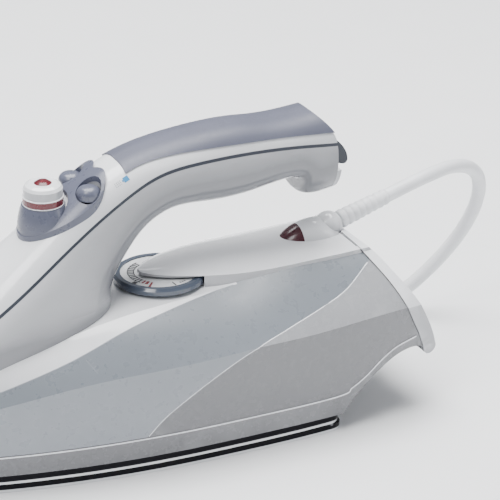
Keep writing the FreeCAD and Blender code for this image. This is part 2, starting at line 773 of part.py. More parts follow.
LID_MARGIN = 1.5
lid_x = (mouth_x[0] - LID_MARGIN, mouth_x[1] + LID_MARGIN)
lid_half = mouth_half + LID_MARGIN
lid_thickness = cell("lid_thickness")
lid_inner = handle_form(lid_thickness)
lid_span = slab(lid_x, (-lid_half, lid_half), (up(60), HIGH))
lid = handle_outer.common(lid_span).cut(lid_inner)
lid = biggest(lid)
KNUCKLE_RADIUS = 1.6
PIN_RADIUS = 0.8
PIN_REACH = 2.0
hinge_x = lid_x[1]
hinge_z = top_at(handle_outer, hinge_x, 0) - 0.5 * lid_thickness - 0.6


def crosswise(radius, half):
    return Part.makeCylinder(radius, 2 * half, Vector(hinge_x, -half, hinge_z), Vector(0, 1, 0))


pin = crosswise(PIN_RADIUS, lid_half + PIN_REACH)
lid = lid.fuse(crosswise(KNUCKLE_RADIUS, lid_half)).cut(
    crosswise(PIN_RADIUS + cell("bearing_gap"), lid_half + PIN_REACH))
shaped("filling_lid", biggest(lid))
shaped("lid_pin", pin)
lid_room = slab((lid_x[0] - gap, lid_x[1] + gap), (-lid_half - gap, lid_half + gap), (up(60), HIGH))
lid_room = lid_room.cut(lid_inner.common(slab((FRONT, BACK), WIDE, (LOW, HIGH))))
lid_room = lid_room.fuse(crosswise(KNUCKLE_RADIUS + gap, lid_half + gap))

cover = handle_outer.cut(over_line).cut(below_inlay).cut(handle_inner)
cover = cover.fuse(boss_solid.cut(below_inlay))
cover = cover.cut([grip, stem_way, lid_room, pin, passage] + screw_ways)
cover = cover.cut(button_rooms)
shaped("handle_cover", biggest(cover))

INLAY_DEPTH = 3.6
inlay_inner = body_form(INLAY_DEPTH).fuse(
    handle_form(INLAY_DEPTH).common(moved(handle_space, x=-INLAY_DEPTH)))
beak_top = side(BEAK)
beak_floor = side(BEAK_FLOOR)
beak = side_zone([beak_top, beak_floor, [beak_floor[-1], beak_top[0]]], BEAK_HALF)
inlay = front_outer.common(below_inlay).cut(below_seam).cut(inlay_inner)
inlay = biggest(inlay.cut([passage, lid_room] + button_rooms)).fuse(beak.cut(handle_outer))
shaped("handle_inlay", biggest(inlay))

CAP_THICKNESS = 2.4
cap_space = moved(handle_space, x=CAP_THICKNESS).cut(handle_space)
end_cap = handle_outer_full.common(cap_space).common(
    slab((0, BACK), WIDE, (LOW, beak_floor[-1][1] - 0.1))).cut(beak)
shaped("handle_end_cap", biggest(end_cap))


# ---------------------------------------------------------------- steam regulator

collar_top = cell("knob_bottom") - gap
COLLAR_BULGE = 0.8
collar_rise = collar_top - raised(106)
collar_profile = [
    Vector(0, 0, raised(106)),
    Vector(collar_radius - 2.5, 0, raised(106)),
    Vector(collar_radius + COLLAR_BULGE, 0, raised(106) + 0.45 * collar_rise),
    Vector(collar_radius - 1.2, 0, collar_top),
    Vector(0, 0, collar_top),
]
flank = curve([tuple(p) for p in collar_profile[1:4]])
collar_face = Part.Face(Part.Wire([
    Part.LineSegment(collar_profile[0], collar_profile[1]).toShape(), flank,
    Part.LineSegment(collar_profile[3], collar_profile[4]).toShape(),
    Part.LineSegment(collar_profile[4], collar_profile[0]).toShape(),
]))
collar = collar_face.revolve(Vector(0, 0, 0), upright, 360)
collar = moved(collar, x=knob_x).cut([handle_outer, stem_way])
collar = biggest(collar)
shaped("regulator_collar", collar)
nodes["button_pad"].Shape = biggest(nodes["button_pad"].Shape.cut(collar))

knob_place = at("sizes.knob_position", "0", "sizes.knob_bottom")
turned("regulator_ring", [
    ("sizes.stem_radius", "0"), ("sizes.knob_radius", "0"), ("sizes.knob_radius + 0.3", "0.6"),
    ("sizes.knob_radius + 0.3", "sizes.ring_rise"), ("sizes.stem_radius", "sizes.ring_rise"),
], knob_place)
CAP_LOW = "sizes.ring_rise"
CAP_TOP = "sizes.ring_rise + sizes.cap_rise"
INSERT_RADIUS = "4.2"
turned("regulator_cap", [
    ("0", "-24"), ("sizes.stem_radius", "-24"), ("sizes.stem_radius", CAP_LOW),
    ("sizes.knob_radius", CAP_LOW), ("sizes.knob_radius", CAP_TOP + " - 2.2"),
    ("sizes.knob_radius - 0.9", CAP_TOP + " - 0.8"), ("sizes.knob_radius - 2.6", CAP_TOP),
    (INSERT_RADIUS, CAP_TOP), (INSERT_RADIUS, CAP_TOP + " - 1.5"), ("0", CAP_TOP + " - 1.5"),
], knob_place)
turned("regulator_insert", [
    ("0", CAP_TOP + " - 1.5"), (INSERT_RADIUS, CAP_TOP + " - 1.5"), (INSERT_RADIUS, CAP_TOP),
    ("2.6", CAP_TOP + " + 1.1"), ("0", CAP_TOP + " + 1.5"),
], knob_place)

VALVE_TIP = 3.0
turned("valve_rod", [
    ("0", str(cover_top + 2)), ("sizes.valve_radius * 0.5", str(cover_top + 2)),
    ("sizes.valve_radius", str(cover_top + 2 + VALVE_TIP)),
    ("sizes.valve_radius", "sizes.knob_bottom - 24 - sizes.valve_lift - 0.6"),
    ("0", "sizes.knob_bottom - 24 - sizes.valve_lift - 0.6"),
], at("sizes.knob_position", "0", "0"))
turned("valve_seat", [
    ("sizes.valve_radius + sizes.bearing_gap", str(cover_top)), (str(SEAT_RADIUS), str(cover_top)),
    (str(SEAT_RADIUS), f"sizes.seam_height + {SEAT_TOP}"),
    ("sizes.valve_radius + sizes.bearing_gap", f"sizes.seam_height + {SEAT_TOP}"),
], at("sizes.knob_position", "0", "0"))

# ---------------------------------------------------------------- buttons and pumps

PLUNGER_RADIUS = 1.5
HEAD_RISE = 5.0
SHELF = 2.0
SPRING_WIRE = 0.45
SPRING_COILS = 6
SPRING_SIDES = 10


def coil_spring(coil_radius, tall):
    """A wire wound round the upright axis in short straight runs."""
    runs = SPRING_SIDES * SPRING_COILS
    places = []
    for index in range(runs + 1):
        turn = 2 * math.pi * index / SPRING_SIDES
        places.append(Vector(coil_radius * math.cos(turn), coil_radius * math.sin(turn),
                             tall * index / runs))
    ring = Part.Wire(Part.makeCircle(SPRING_WIRE, places[0], places[1].sub(places[0])))
    sharp_corners = 1
    return Part.makePolygon(places).makePipeShell([ring], True, False, sharp_corners)


barrel_low = cell("barrel_top") - cell("barrel_length")
for name, hand in (("spray", -1), ("steam", 1)):
    spot = at("sizes.button_position", f"{hand} * sizes.button_spread", "0")
    low = "sizes.button_top - sizes.button_rise"
    turned(f"{name}_button", [
        ("0", low), ("sizes.button_radius", low), ("sizes.button_radius", "sizes.button_top - 2.6"),
        ("sizes.button_radius - 1", "sizes.button_top - 1"),
        ("sizes.button_radius - 2.6", "sizes.button_top - 0.2"), ("0", "sizes.button_top"),
    ], spot)
    head_top = f"sizes.barrel_top - {HEAD_RISE}"
    turned(f"{name}_piston", [
        ("0", f"{head_top} - {HEAD_RISE}"), ("sizes.piston_radius", f"{head_top} - {HEAD_RISE}"),
        ("sizes.piston_radius", head_top), (str(PLUNGER_RADIUS), head_top),
        (str(PLUNGER_RADIUS), low), ("0", low),
    ], spot)
    bore = "sizes.piston_radius + sizes.bearing_gap"
    barrel_foot = "sizes.barrel_top - sizes.barrel_length"
    turned(f"{name}_barrel", [
        ("0", barrel_foot), (f"{bore} + sizes.barrel_wall", barrel_foot),
        (f"{bore} + sizes.barrel_wall", "sizes.barrel_top"), (bore, "sizes.barrel_top"),
        (bore, f"{barrel_foot} + 2"), ("0", f"{barrel_foot} + 2"),
    ], spot)
    spring_low = cell("barrel_top") + SPRING_WIRE
    spring_high = cell("button_top") - cell("button_rise") - SPRING_WIRE
    spring = coil_spring(cell("piston_radius") + 0.4 * cell("barrel_wall"), spring_high - spring_low)
    shaped(f"{name}_spring", moved(spring, button_x, hand * button_y, spring_low))
SHELF_HALF = 10.0
shelf = handle_inner.common(slab((button_x - SHELF_HALF, button_x + SHELF_HALF), WIDE,
                                 (barrel_low - SHELF, barrel_low)))
shaped("pump_shelf", biggest(shelf))

NOZZLE_Z = up(60)
NOZZLE_X = along(-128)
nozzle = Part.makeCone(3.4, 4.6, 10, Vector(NOZZLE_X, 0, NOZZLE_Z), Vector(1, 0, 0))
nozzle = nozzle.fuse(Part.makeCylinder(2.4, 14, Vector(NOZZLE_X + 6, 0, NOZZLE_Z), Vector(1, 0, 0)))
nozzle = nozzle.cut(Part.makeCylinder(0.6, 40, Vector(NOZZLE_X - 2, 0, NOZZLE_Z), Vector(1, 0, 0)))
shaped("spray_nozzle", nozzle)
nozzle_way = Part.makeCylinder(4.6, 12, Vector(NOZZLE_X + 9.9, 0, NOZZLE_Z), Vector(1, 0, 0))
nozzle_room = Part.makeCone(3.4, 4.6, 10, Vector(NOZZLE_X, 0, NOZZLE_Z), Vector(1, 0, 0))
for label in ("front_housing", "handle_cover", "handle_inlay"):
    shape = nodes[label].Shape.cut([nozzle_way, nozzle_room])
    nodes[label].Shape = biggest(shape)

# ---------------------------------------------------------------- top cover, lens and turret

# One row per station along the top cover: place, half width, edge height, ridge height.
HOOD_STATIONS = [
    (-3.5, 1.5, 85.6, 86.2),
    (4, 9, 85.2, 87.6),
    (18, 16, 84.6, 88.8),
    (38, 21, 83.4, 88.8),
    (60, 22.5, 82.6, 87.2),
    (85, 22.5, 82.4, 86.2),
    (103, 22.5, 82.4, 85.6),
    (122, 22.5, 82, 85),
]
HOOD_FOOT = 74.0


def hood_form(inset):
    wires = []
    for x, half, edge_z, ridge_z in HOOD_STATIONS:
        place = along(x)
        reach = max(half * spread - inset, 0.4)
        edge = up(edge_z) - 0.5 * inset
        ridge = max(up(ridge_z) - inset, edge + 0.1)
        foot = up(HOOD_FOOT)
        arch_edge = Part.Arc(Vector(place, reach, edge), Vector(place, 0, ridge),
                             Vector(place, -reach, edge)).toShape()
        corners = [Vector(place, -reach, edge), Vector(place, -reach, foot),
                   Vector(place, reach, foot), Vector(place, reach, edge)]
        lines = [Part.LineSegment(a, b).toShape() for a, b in zip(corners, corners[1:])]
        wires.append(Part.Wire([arch_edge] + lines))
    return Part.makeLoft(wires, True, False)


HOOD_WALL = 1.8
hood_low = cell("dial_bottom") + cell("dial_rise") + cell("hood_gap")
dial_room = upright_rod(cell("dial_radius") + 1.0, dial_x, 0, LOW, hood_low)
hood = hood_form(0).common(before_heel).cut([body_outer, dial_room])
hood = hood.cut(hood_form(HOOD_WALL).common(moved(before_heel, x=-HOOD_WALL)))
front_gap = slab((FRONT, dial_x), WIDE, (LOW, hood_low))
hood = hood.cut(front_gap)
ball_x = cell("ball_position")
ball_z = cell("ball_height")
ball_radius = cell("ball_radius")
ball_centre = Vector(ball_x, 0, ball_z)
ball_room = Part.makeSphere(ball_radius + gap, ball_centre)
tilt = math.radians(cell("relief_tilt"))
exit_way = Vector(math.cos(tilt), 0, math.sin(tilt))
RELIEF_BASE = 4.9
RELIEF_TIP = 4.0
RELIEF_START = 4.0
RELIEF_FAN = 70.0
RELIEF_ROOM = 0.5


def relief_fan():
    """The room that the cord relief sweeps as the ball swivels, open towards the heel."""
    across = Vector(-exit_way.z, 0, exit_way.x)
    reach = cell("relief_length")
    foot = ball_centre + exit_way * RELIEF_START
    near = across * (RELIEF_BASE + RELIEF_ROOM)
    far = across * (RELIEF_TIP + RELIEF_ROOM)
    end = ball_centre + exit_way * reach
    corners = [foot + near, end + far, end - far, foot - near]
    face = Part.Face(Part.makePolygon(corners + corners[:1]))
    face.rotate(ball_centre, upright, -0.5 * RELIEF_FAN)
    return face.revolve(ball_centre, upright, RELIEF_FAN)


def swung_relief(turn):
    """Room for the strain relief, swung round by turn degrees."""
    room = Part.makeCone(RELIEF_BASE + gap, RELIEF_TIP + gap, cell("relief_length") - RELIEF_START,
                         ball_centre + exit_way * RELIEF_START, exit_way)
    room.rotate(ball_centre, upright, turn)
    return room


SWING_LIMIT = 15.0
SWING_SHARES = (-1.0, -0.5, 0.5, 1.0)
cord_way = relief_fan()
LENS_JOIN = 83.0
TURRET_REACH = (71.5, 112.0)
TURRET_HALF = 10.5
TURRET_TOP = 93.0
TURRET_FOOT = 80.0
TURRET_REAR = 102.0
HOLLOW_END = 95.0


def dome(inset):
    middle = 0.5 * (TURRET_REACH[0] + TURRET_REACH[1])
    ball = Part.makeSphere(1.0)
    scale = FreeCAD.Matrix()
    scale.scale(0.5 * (TURRET_REACH[1] - TURRET_REACH[0]) - inset, TURRET_HALF - inset,
                TURRET_TOP - TURRET_FOOT - inset)
    return moved(ball.transformGeometry(scale), middle, 0, TURRET_FOOT)


hood_solid = hood_form(0)
lens_face = slab((0, LENS_JOIN), WIDE, (LOW, HIGH))
LENS_WALL = 1.6
under_hood = slab((FRONT, BACK), WIDE, (LOW, up(HOOD_FOOT) + 5))
lens = dome(0).cut(dome(LENS_WALL)).common(lens_face).cut([hood_solid, under_hood])
shaped("indicator_lens", biggest(lens))
turret_space = slab((LENS_JOIN, TURRET_REAR), WIDE, (LOW, HIGH))
turret = dome(0).common(turret_space).cut([hood_solid, under_hood, ball_room])
turret_hollow = dome(LENS_WALL).common(slab((LENS_JOIN + LENS_WALL, HOLLOW_END), WIDE, (LOW, HIGH)))
turret = turret.cut([cord_way, turret_hollow])
shaped("cord_turret", biggest(turret))
LAMP_X = 80.4
LAMP_RADIUS = 1.8
LAMP_SINK = 4.0
LAMP_RISE = 1.6
lamp_z = top_at(hood_solid, LAMP_X, 0)
lamp = upright_rod(LAMP_RADIUS, LAMP_X, 0, lamp_z - LAMP_SINK, lamp_z + LAMP_RISE)
lamp_way = upright_rod(LAMP_RADIUS, LAMP_X, 0, LOW, HIGH)
shaped("indicator_lamp", lamp)
hood = hood.cut([ball_room, lamp_way, cord_way])
shaped("top_cover", biggest(hood))

# ---------------------------------------------------------------- heel and heat shield

back_line = side(heel_back)
foot_curve = side(HEEL_FOOT)
heel_zone = side_zone([
    heel_line,
    foot_curve[::-1],
    back_line[::-1],
    [back_line[0], heel_line[0]],
])
HEEL_PROUD = 0.7
heel = body_form(-HEEL_PROUD).fuse(hood_form(-HEEL_PROUD)).common(heel_zone)
heel = heel.cut(body_form(wall).common(moved(heel_zone, x=-1.3 * wall)))
heel = heel.cut([ball_room, cord_way] + [swung_relief(share * SWING_LIMIT) for share in SWING_SHARES])
shaped("heel_cover", biggest(heel))

SHIELD_NOSE = [(-114, 0), (-107, 9)]
shield = body_outer.common(before_heel).common(under_seam).cut(under_arch)
shield_floor = slab((FRONT, along(84)), WIDE, (LOW, wall_under)).fuse(moved(under_arch, z=wall))
shield = shield.cut(body_inner.cut(shield_floor))
shield = shield.cut([sole_prism(CORE_INSET - 2 * gap, LOW, core_top + 9, SHIELD_NOSE), sole_screws])
shaped("heat_shield", biggest(shield))

terminal = slab(BLOCK_X, (-BLOCK_HALF, BLOCK_HALF), BLOCK_Z)
HANGER_X = (102.0, 106.0)
HANGER_HALF = 4.0
hanger = slab(HANGER_X, (-HANGER_HALF, HANGER_HALF), (BLOCK_Z[0], HIGH)).common(body_inner).common(under_tank(wall))
terminal = terminal.fuse(hanger).cut(inner_leads)
shaped("terminal_block", biggest(terminal))

# ---------------------------------------------------------------- cord

relief_end = ball_centre + exit_way * cell("relief_length")
# A bore up from below, on the line the lead swings about, takes the ball's pivot.
PIVOT_RADIUS = 1.6
PIVOT_DEPTH = 5.0
pivot_bore = upright_rod(PIVOT_RADIUS, ball_x, 0, LOW, ball_z - ball_radius + PIVOT_DEPTH)
ball_solid = Part.makeSphere(ball_radius, ball_centre)
shaped("cord_ball", ball_solid.cut(pivot_bore))
relief = Part.makeCone(RELIEF_BASE, RELIEF_TIP, cell("relief_length") - RELIEF_START,
                       ball_centre + exit_way * RELIEF_START, exit_way)

cord_radius = 0.5 * cell("cord_diameter")

# The lead leaves the relief, falls behind the heel and runs on the floor into its coil.
LEAD_ROUTE = [
    (relief_end.x, relief_end.y, relief_end.z),
    (155, 0.5, 102.1),
    (179, 7, 102),
    (198, 18, 89),
    (206, 31, 67),
    (202, 43, 43),
    (188, 52, 22),
    (168, 55, 8.5),
    (148, 55.4, 3.8),
    (127, 53, 3.6),
]
COIL_CENTRE = (114.0, 101.0)
TURN_COLUMNS = 4
TURN_LAYERS = 2
COIL_ROOM = 0.5
coil_reach = 0.5 * TURN_COLUMNS * cell("cord_diameter") + COIL_ROOM
coil_outer = cell("coil_radius") + coil_reach
coil_inner = cell("coil_radius") - coil_reach
coil_height = TURN_LAYERS * cell("cord_diameter") + COIL_ROOM
lead = routed("power_cord", LEAD_ROUTE, cord_radius)
shaped("strain_relief", relief.cut([ball_solid, lead]))
coil = upright_rod(coil_outer, *COIL_CENTRE, 0, coil_height).cut(
    upright_rod(coil_inner, *COIL_CENTRE, -1, coil_height + 1))
TAIL_ROUTE = [
    (79.4, 66.4, 10.6),
    (63, 81, 11),
    (49, 99, 14),
    (42, 121, 18.5),
]
tail = routed("cord_tail", TAIL_ROUTE, cord_radius)
coil = coil.cut([lead, tail])
shaped("power_cord", lead)
shaped("cord_coil", biggest(coil))
shaped("cord_tail", tail)
TIE_HALF = 7.0
TIE_THICKNESS = 1.2
tie = slab((COIL_CENTRE[0] - TIE_HALF, COIL_CENTRE[0] + TIE_HALF),
           (COIL_CENTRE[1] + coil_inner - TIE_THICKNESS, COIL_CENTRE[1] + coil_outer + TIE_THICKNESS),
           (0, coil_height + TIE_THICKNESS)).cut(coil)
shaped("cord_tie", biggest(tie))

PLUG_RADIUS = 18.5
PLUG_LENGTH = 42.0
plug_end = Vector(*TAIL_ROUTE[-1])
plug_way = Vector(*TAIL_ROUTE[-1]).sub(Vector(*TAIL_ROUTE[-2])).normalize()
plug_way = Vector(plug_way.x, plug_way.y, 0).normalize()
flank_points = [(cord_radius + 1.6, 0), (7.5, 12), (13, 20), (PLUG_RADIUS, 27)]
plug_edges = [
    curve([(0, 0, 0), (flank_points[0][0], 0, 0)]),
    curve([(r, 0, z) for r, z in flank_points]),
    curve([(PLUG_RADIUS, 0, 27), (PLUG_RADIUS, 0, PLUG_LENGTH)]),
    curve([(PLUG_RADIUS, 0, PLUG_LENGTH), (0, 0, PLUG_LENGTH)]),
    curve([(0, 0, PLUG_LENGTH), (0, 0, 0)]),
]
plug = Part.Face(Part.Wire(plug_edges)).revolve(Vector(0, 0, 0), upright, 360)
plug_turn = Placement(plug_end, Rotation(upright, plug_way))
plug = plug.transformed(plug_turn.toMatrix()).cut(tail)
# Each pin: a thin root held in the plug, the round shank a socket grips, then a blunt tip.
PLUG_PIN_RADIUS = 2.4
PIN_ROOT_RADIUS = 1.8
PIN_TIP_RADIUS = 1.7
PIN_ROOT = 6.0
PIN_SETBACK = 0.3
PIN_SHANK = 17.9
PIN_TIP = 0.8
PIN_SPACING = 19.0
plug_pins = []
sideways = plug_way.cross(upright).normalize()
for hand in (-1, 1):
    face_point = plug_end + plug_way * PLUG_LENGTH + sideways * (0.5 * hand * PIN_SPACING)
    root_foot = face_point - plug_way * PIN_ROOT
    shank_foot = face_point + plug_way * PIN_SETBACK
    shank_end = shank_foot + plug_way * PIN_SHANK
    root = Part.makeCylinder(PIN_ROOT_RADIUS, PIN_ROOT + PIN_SETBACK, root_foot, plug_way)
    shank = Part.makeCylinder(PLUG_PIN_RADIUS, PIN_SHANK, shank_foot, plug_way)
    tip = Part.makeCone(PLUG_PIN_RADIUS, PIN_TIP_RADIUS, PIN_TIP, shank_end, plug_way)
    plug_pins.append(root.fuse([shank, tip]))
shaped("plug_body", plug.cut(plug_pins))
shaped("plug_pins", Part.makeCompound(plug_pins))

# ---------------------------------------------------------------- checks and files

doc.recompute()
faults = []
for piece in doc.Objects:
    if "Invalid" in piece.State or "Error" in piece.State:
        faults.append(f"{piece.Label}: {piece.State}")
for label, piece in nodes.items():
    shape = piece.Shape
    if shape.isNull() or not shape.isValid() or not shape.Solids:
        faults.append(f"{label}: not a valid solid")
    box = shape.optimalBoundingBox()
    print(f"{label:18s} solids={len(shape.Solids)} {shape.Volume / 1000:.2f} cc "
          f"x {box.XMin:.1f}..{box.XMax:.1f} y {box.YMin:.1f}..{box.YMax:.1f} "
          f"z {box.ZMin:.1f}..{box.ZMax:.1f}")
if faults:
    raise RuntimeError("; ".join(faults))
os.makedirs("parts", exist_ok=True)
for label, piece in nodes.items():
    piece.Shape.exportStep(f"parts/{label}.step")
print(len(nodes), "sub-parts written")
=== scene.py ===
import math

import bmesh
import bpy
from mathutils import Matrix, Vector
from mathutils.bvhtree import BVHTree


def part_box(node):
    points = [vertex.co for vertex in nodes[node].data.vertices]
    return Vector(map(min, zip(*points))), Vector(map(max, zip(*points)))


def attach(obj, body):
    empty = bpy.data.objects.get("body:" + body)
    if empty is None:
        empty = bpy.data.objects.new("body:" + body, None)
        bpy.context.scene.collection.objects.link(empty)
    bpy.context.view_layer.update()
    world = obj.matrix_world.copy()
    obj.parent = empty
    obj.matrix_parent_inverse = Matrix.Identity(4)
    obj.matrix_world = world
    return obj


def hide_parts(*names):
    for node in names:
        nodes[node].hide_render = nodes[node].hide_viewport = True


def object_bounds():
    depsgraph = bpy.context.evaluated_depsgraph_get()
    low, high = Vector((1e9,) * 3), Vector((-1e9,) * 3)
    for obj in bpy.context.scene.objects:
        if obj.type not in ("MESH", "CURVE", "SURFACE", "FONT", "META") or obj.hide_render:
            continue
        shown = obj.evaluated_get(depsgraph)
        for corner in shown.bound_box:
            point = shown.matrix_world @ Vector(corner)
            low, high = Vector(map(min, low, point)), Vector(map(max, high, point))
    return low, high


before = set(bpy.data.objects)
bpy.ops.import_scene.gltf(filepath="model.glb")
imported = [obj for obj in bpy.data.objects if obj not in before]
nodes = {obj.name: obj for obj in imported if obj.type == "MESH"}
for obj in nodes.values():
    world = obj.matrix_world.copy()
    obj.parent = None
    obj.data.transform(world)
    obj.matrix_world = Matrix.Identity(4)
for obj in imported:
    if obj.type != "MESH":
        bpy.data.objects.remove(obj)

# A steam iron resting on its soleplate: nose towards -X, heel towards +X, +Z up, metres.

cad_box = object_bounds()
MM = 0.001


# ---------------------------------------------------------------- camera

VIEW_TARGET = Vector((0.0571, 0.0, 0.08346))
VIEW_AZIMUTH = math.radians(-28.5)
VIEW_ELEVATION = math.radians(24.2)
VIEW_DISTANCE = 2.0
VIEW_LENS = 297.4
SENSOR_WIDTH = 36.0
VIEW_CLIP = (0.05, 50.0)


def make_camera():
    data = bpy.data.cameras.new("camera")
    data.lens = VIEW_LENS
    data.sensor_width = SENSOR_WIDTH
    data.clip_start, data.clip_end = VIEW_CLIP
    camera = bpy.data.objects.new("camera", data)
    back = Vector((math.sin(VIEW_AZIMUTH) * math.cos(VIEW_ELEVATION),
                   -math.cos(VIEW_AZIMUTH) * math.cos(VIEW_ELEVATION),
                   math.sin(VIEW_ELEVATION)))
    camera.location = VIEW_TARGET + back * VIEW_DISTANCE
    camera.rotation_mode = "QUATERNION"
    camera.rotation_quaternion = (-back).to_track_quat("-Z", "Y")
    bpy.context.scene.collection.objects.link(camera)
    bpy.context.scene.camera = camera


make_camera()


# ---------------------------------------------------------------- materials

# Where a noise's values lie mostly, and the pointiness from a barely to a fully rounded edge.
MOST_NOISE = (0.3, 0.7)
EDGE_SPAN = (0.58, 0.72)
# The colour sockets of a Mix node, which share their names with its other kinds.
MIX_FIRST = 6
MIX_SECOND = 7
MIX_RESULT = 2


class Paint:
    """A node material made in steps: pattern masks first, then the shader's sockets."""

    def __init__(self, name):
        self.material = bpy.data.materials.new(name)
        self.material.use_nodes = True
        self.tree = self.material.node_tree
        self.shader = self.tree.nodes["Principled BSDF"]
        place = self.node("ShaderNodeTexCoord")
        self.place = place.outputs["Object"]

    def node(self, kind, **settings):
        fresh = self.tree.nodes.new(kind)
        for key, value in settings.items():
            setattr(fresh, key, value)
        return fresh

    def link(self, source, target):
        self.tree.links.new(source, target)

    def noise(self, scale, detail=3.0, roughness=0.55, stretch=(1, 1, 1)):
        """Noise of a size in features a metre, drawn out along an axis where stretch is below 1."""
        mapping = self.node("ShaderNodeMapping")
        mapping.inputs["Scale"].default_value = stretch
        self.link(self.place, mapping.inputs["Vector"])
        noise = self.node("ShaderNodeTexNoise")
        noise.inputs["Scale"].default_value = scale
        noise.inputs["Detail"].default_value = detail
        noise.inputs["Roughness"].default_value = roughness
        self.link(mapping.outputs["Vector"], noise.inputs["Vector"])
        return noise.outputs["Fac"]

    def ranged(self, source, low, high, to_low=0.0, to_high=1.0):
        ranged = self.node("ShaderNodeMapRange")
        ranged.inputs["From Min"].default_value = low
        ranged.inputs["From Max"].default_value = high
        ranged.inputs["To Min"].default_value = to_low
        ranged.inputs["To Max"].default_value = to_high
        self.link(source, ranged.inputs["Value"])
        return ranged.outputs["Result"]

    def upward(self, source):
        """The Z part of a vector."""
        parts = self.node("ShaderNodeSeparateXYZ")
        self.link(source, parts.inputs["Vector"])
        return parts.outputs["Z"]

    def height(self):
        return self.upward(self.place)

    def facing(self):
        """How far the surface faces up, -1 to 1."""
        return self.upward(self.node("ShaderNodeNewGeometry").outputs["Normal"])

    def edges(self):
        geometry = self.node("ShaderNodeNewGeometry")
        return self.ranged(geometry.outputs["Pointiness"], *EDGE_SPAN)

    def mixed(self, mask, first, second):
        """A colour socket that goes from first to second with the mask; each a colour or a socket."""
        mix = self.node("ShaderNodeMix", data_type="RGBA")
        self.link(mask, mix.inputs["Factor"])
        for value, socket in ((first, mix.inputs[MIX_FIRST]), (second, mix.inputs[MIX_SECOND])):
            if isinstance(value, tuple):
                socket.default_value = (*value, 1.0)
            else:
                self.link(value, socket)
        return mix.outputs[MIX_RESULT]

    def bump(self, source, depth, strength=0.5):
        bump = self.node("ShaderNodeBump")
        bump.inputs["Distance"].default_value = depth
        bump.inputs["Strength"].default_value = strength
        self.link(source, bump.inputs["Height"])
        previous = self.shader.inputs["Normal"].links
        if previous:
            self.link(previous[0].from_socket, bump.inputs["Normal"])
        self.link(bump.outputs["Normal"], self.shader.inputs["Normal"])

    def set(self, **values):
        """Values that are the same all over the surface, on the shader's own sockets."""
        names = {"coat": "Coat Weight", "coat_roughness": "Coat Roughness", "metal": "Metallic",
                 "clear": "Transmission Weight", "ior": "IOR"}
        for key, value in values.items():
            self.shader.inputs[names[key]].default_value = value
        return self

    def colour(self, socket):
        self.link(socket, self.shader.inputs["Base Color"])

    def roughness(self, source, low, high):
        self.link(self.ranged(source, *MOST_NOISE, low, high), self.shader.inputs["Roughness"])


def tinted(colour, share):
    return tuple(min(1.0, part * share) for part in colour)


# Depths of surface grain in metres.
PEEL = 0.00002
SPARK_GRAIN = 0.00006


def polished(paint, low, high, grain, coat):
    """The finish of a glossy moulding: dust haze, fine orange peel and a clear skin."""
    paint.roughness(paint.noise(240, 5.0), low, high)
    paint.bump(paint.noise(1500, 2.0), grain, 0.35)
    return paint.set(coat=coat, coat_roughness=0.08)


def mould_flow(paint):
    """The long faint marks that plastic leaves as it fills a mould."""
    return paint.noise(38, 4.0, 0.6, (0.5, 1, 1))


def moulded(name, colour, low=0.14, high=0.24, grain=PEEL, coat=0.35):
    """Glossy moulded plastic: faint flow marks and lighter rounded edges."""
    paint = Paint(name)
    flow = paint.ranged(mould_flow(paint), *MOST_NOISE)
    worn = paint.mixed(flow, tinted(colour, 0.965), tinted(colour, 1.025))
    paint.colour(paint.mixed(paint.edges(), worn, tinted(colour, 1.1)))
    return polished(paint, low, high, grain, coat)


def textured(name, colour, low, high, grain=SPARK_GRAIN, size=2600):
    """Matt plastic or rubber with a fine spark-eroded grain."""
    paint = Paint(name)
    cloud = paint.noise(55, 4.0)
    base = paint.mixed(paint.ranged(cloud, *MOST_NOISE), tinted(colour, 0.93), tinted(colour, 1.05))
    paint.colour(paint.mixed(paint.edges(), base, tinted(colour, 1.18)))
    paint.roughness(paint.noise(420, 4.0), low, high)
    paint.bump(paint.noise(size, 3.0, 0.7), grain, 0.6)
    return paint


def metal(name, colour, low, high, stretch=(0.03, 1, 1), grain=0.00001):
    """Metal with drawn or ground marks along one axis and small stains."""
    paint = Paint(name)
    lines = paint.noise(2600, 4.0, 0.6, stretch)
    stain = paint.noise(60, 5.0, 0.6)
    paint.colour(paint.mixed(paint.ranged(stain, 0.35, 0.75), colour, tinted(colour, 0.86)))
    paint.roughness(lines, low, high)
    paint.bump(lines, grain, 0.4)
    return paint.set(metal=1.0)


SHELL_GLOSS = (0.12, 0.22)
SKIRT_GLOSS = (0.2, 0.32)
# The span of upward facing over which a shell's painted flank shade gives way to its top colour.
SHELL_TURN = (-0.1, 0.72)
CLOUD_SHARE = 0.07


def shaded_shell(name, top, flank, gloss):
    """A glossy shell with painted shade: cooler and greyer where it turns to the side and down."""
    paint = Paint(name)
    flow = mould_flow(paint)
    turned = paint.ranged(paint.facing(), *SHELL_TURN)
    # Painted shade: the flank colour where the surface faces the side and down, the top colour where it
    # faces up.
    body = paint.mixed(turned, flank, top)
    clouded = paint.mixed(paint.ranged(flow, *MOST_NOISE, 0.0, CLOUD_SHARE), body, tinted(flank, 0.93))
    paint.colour(paint.mixed(paint.edges(), clouded, tinted(top, 1.06)))
    return polished(paint, *gloss, PEEL, 0.35)


CHROME = (0.83, 0.84, 0.85)
SMEARED_CHROME = (0.70, 0.71, 0.73)
# The black of a painted reflection of dark surroundings in the polished sides.
BLACK_REFLECTION = (0.012, 0.012, 0.014)
BAND_BLUR = 0.15


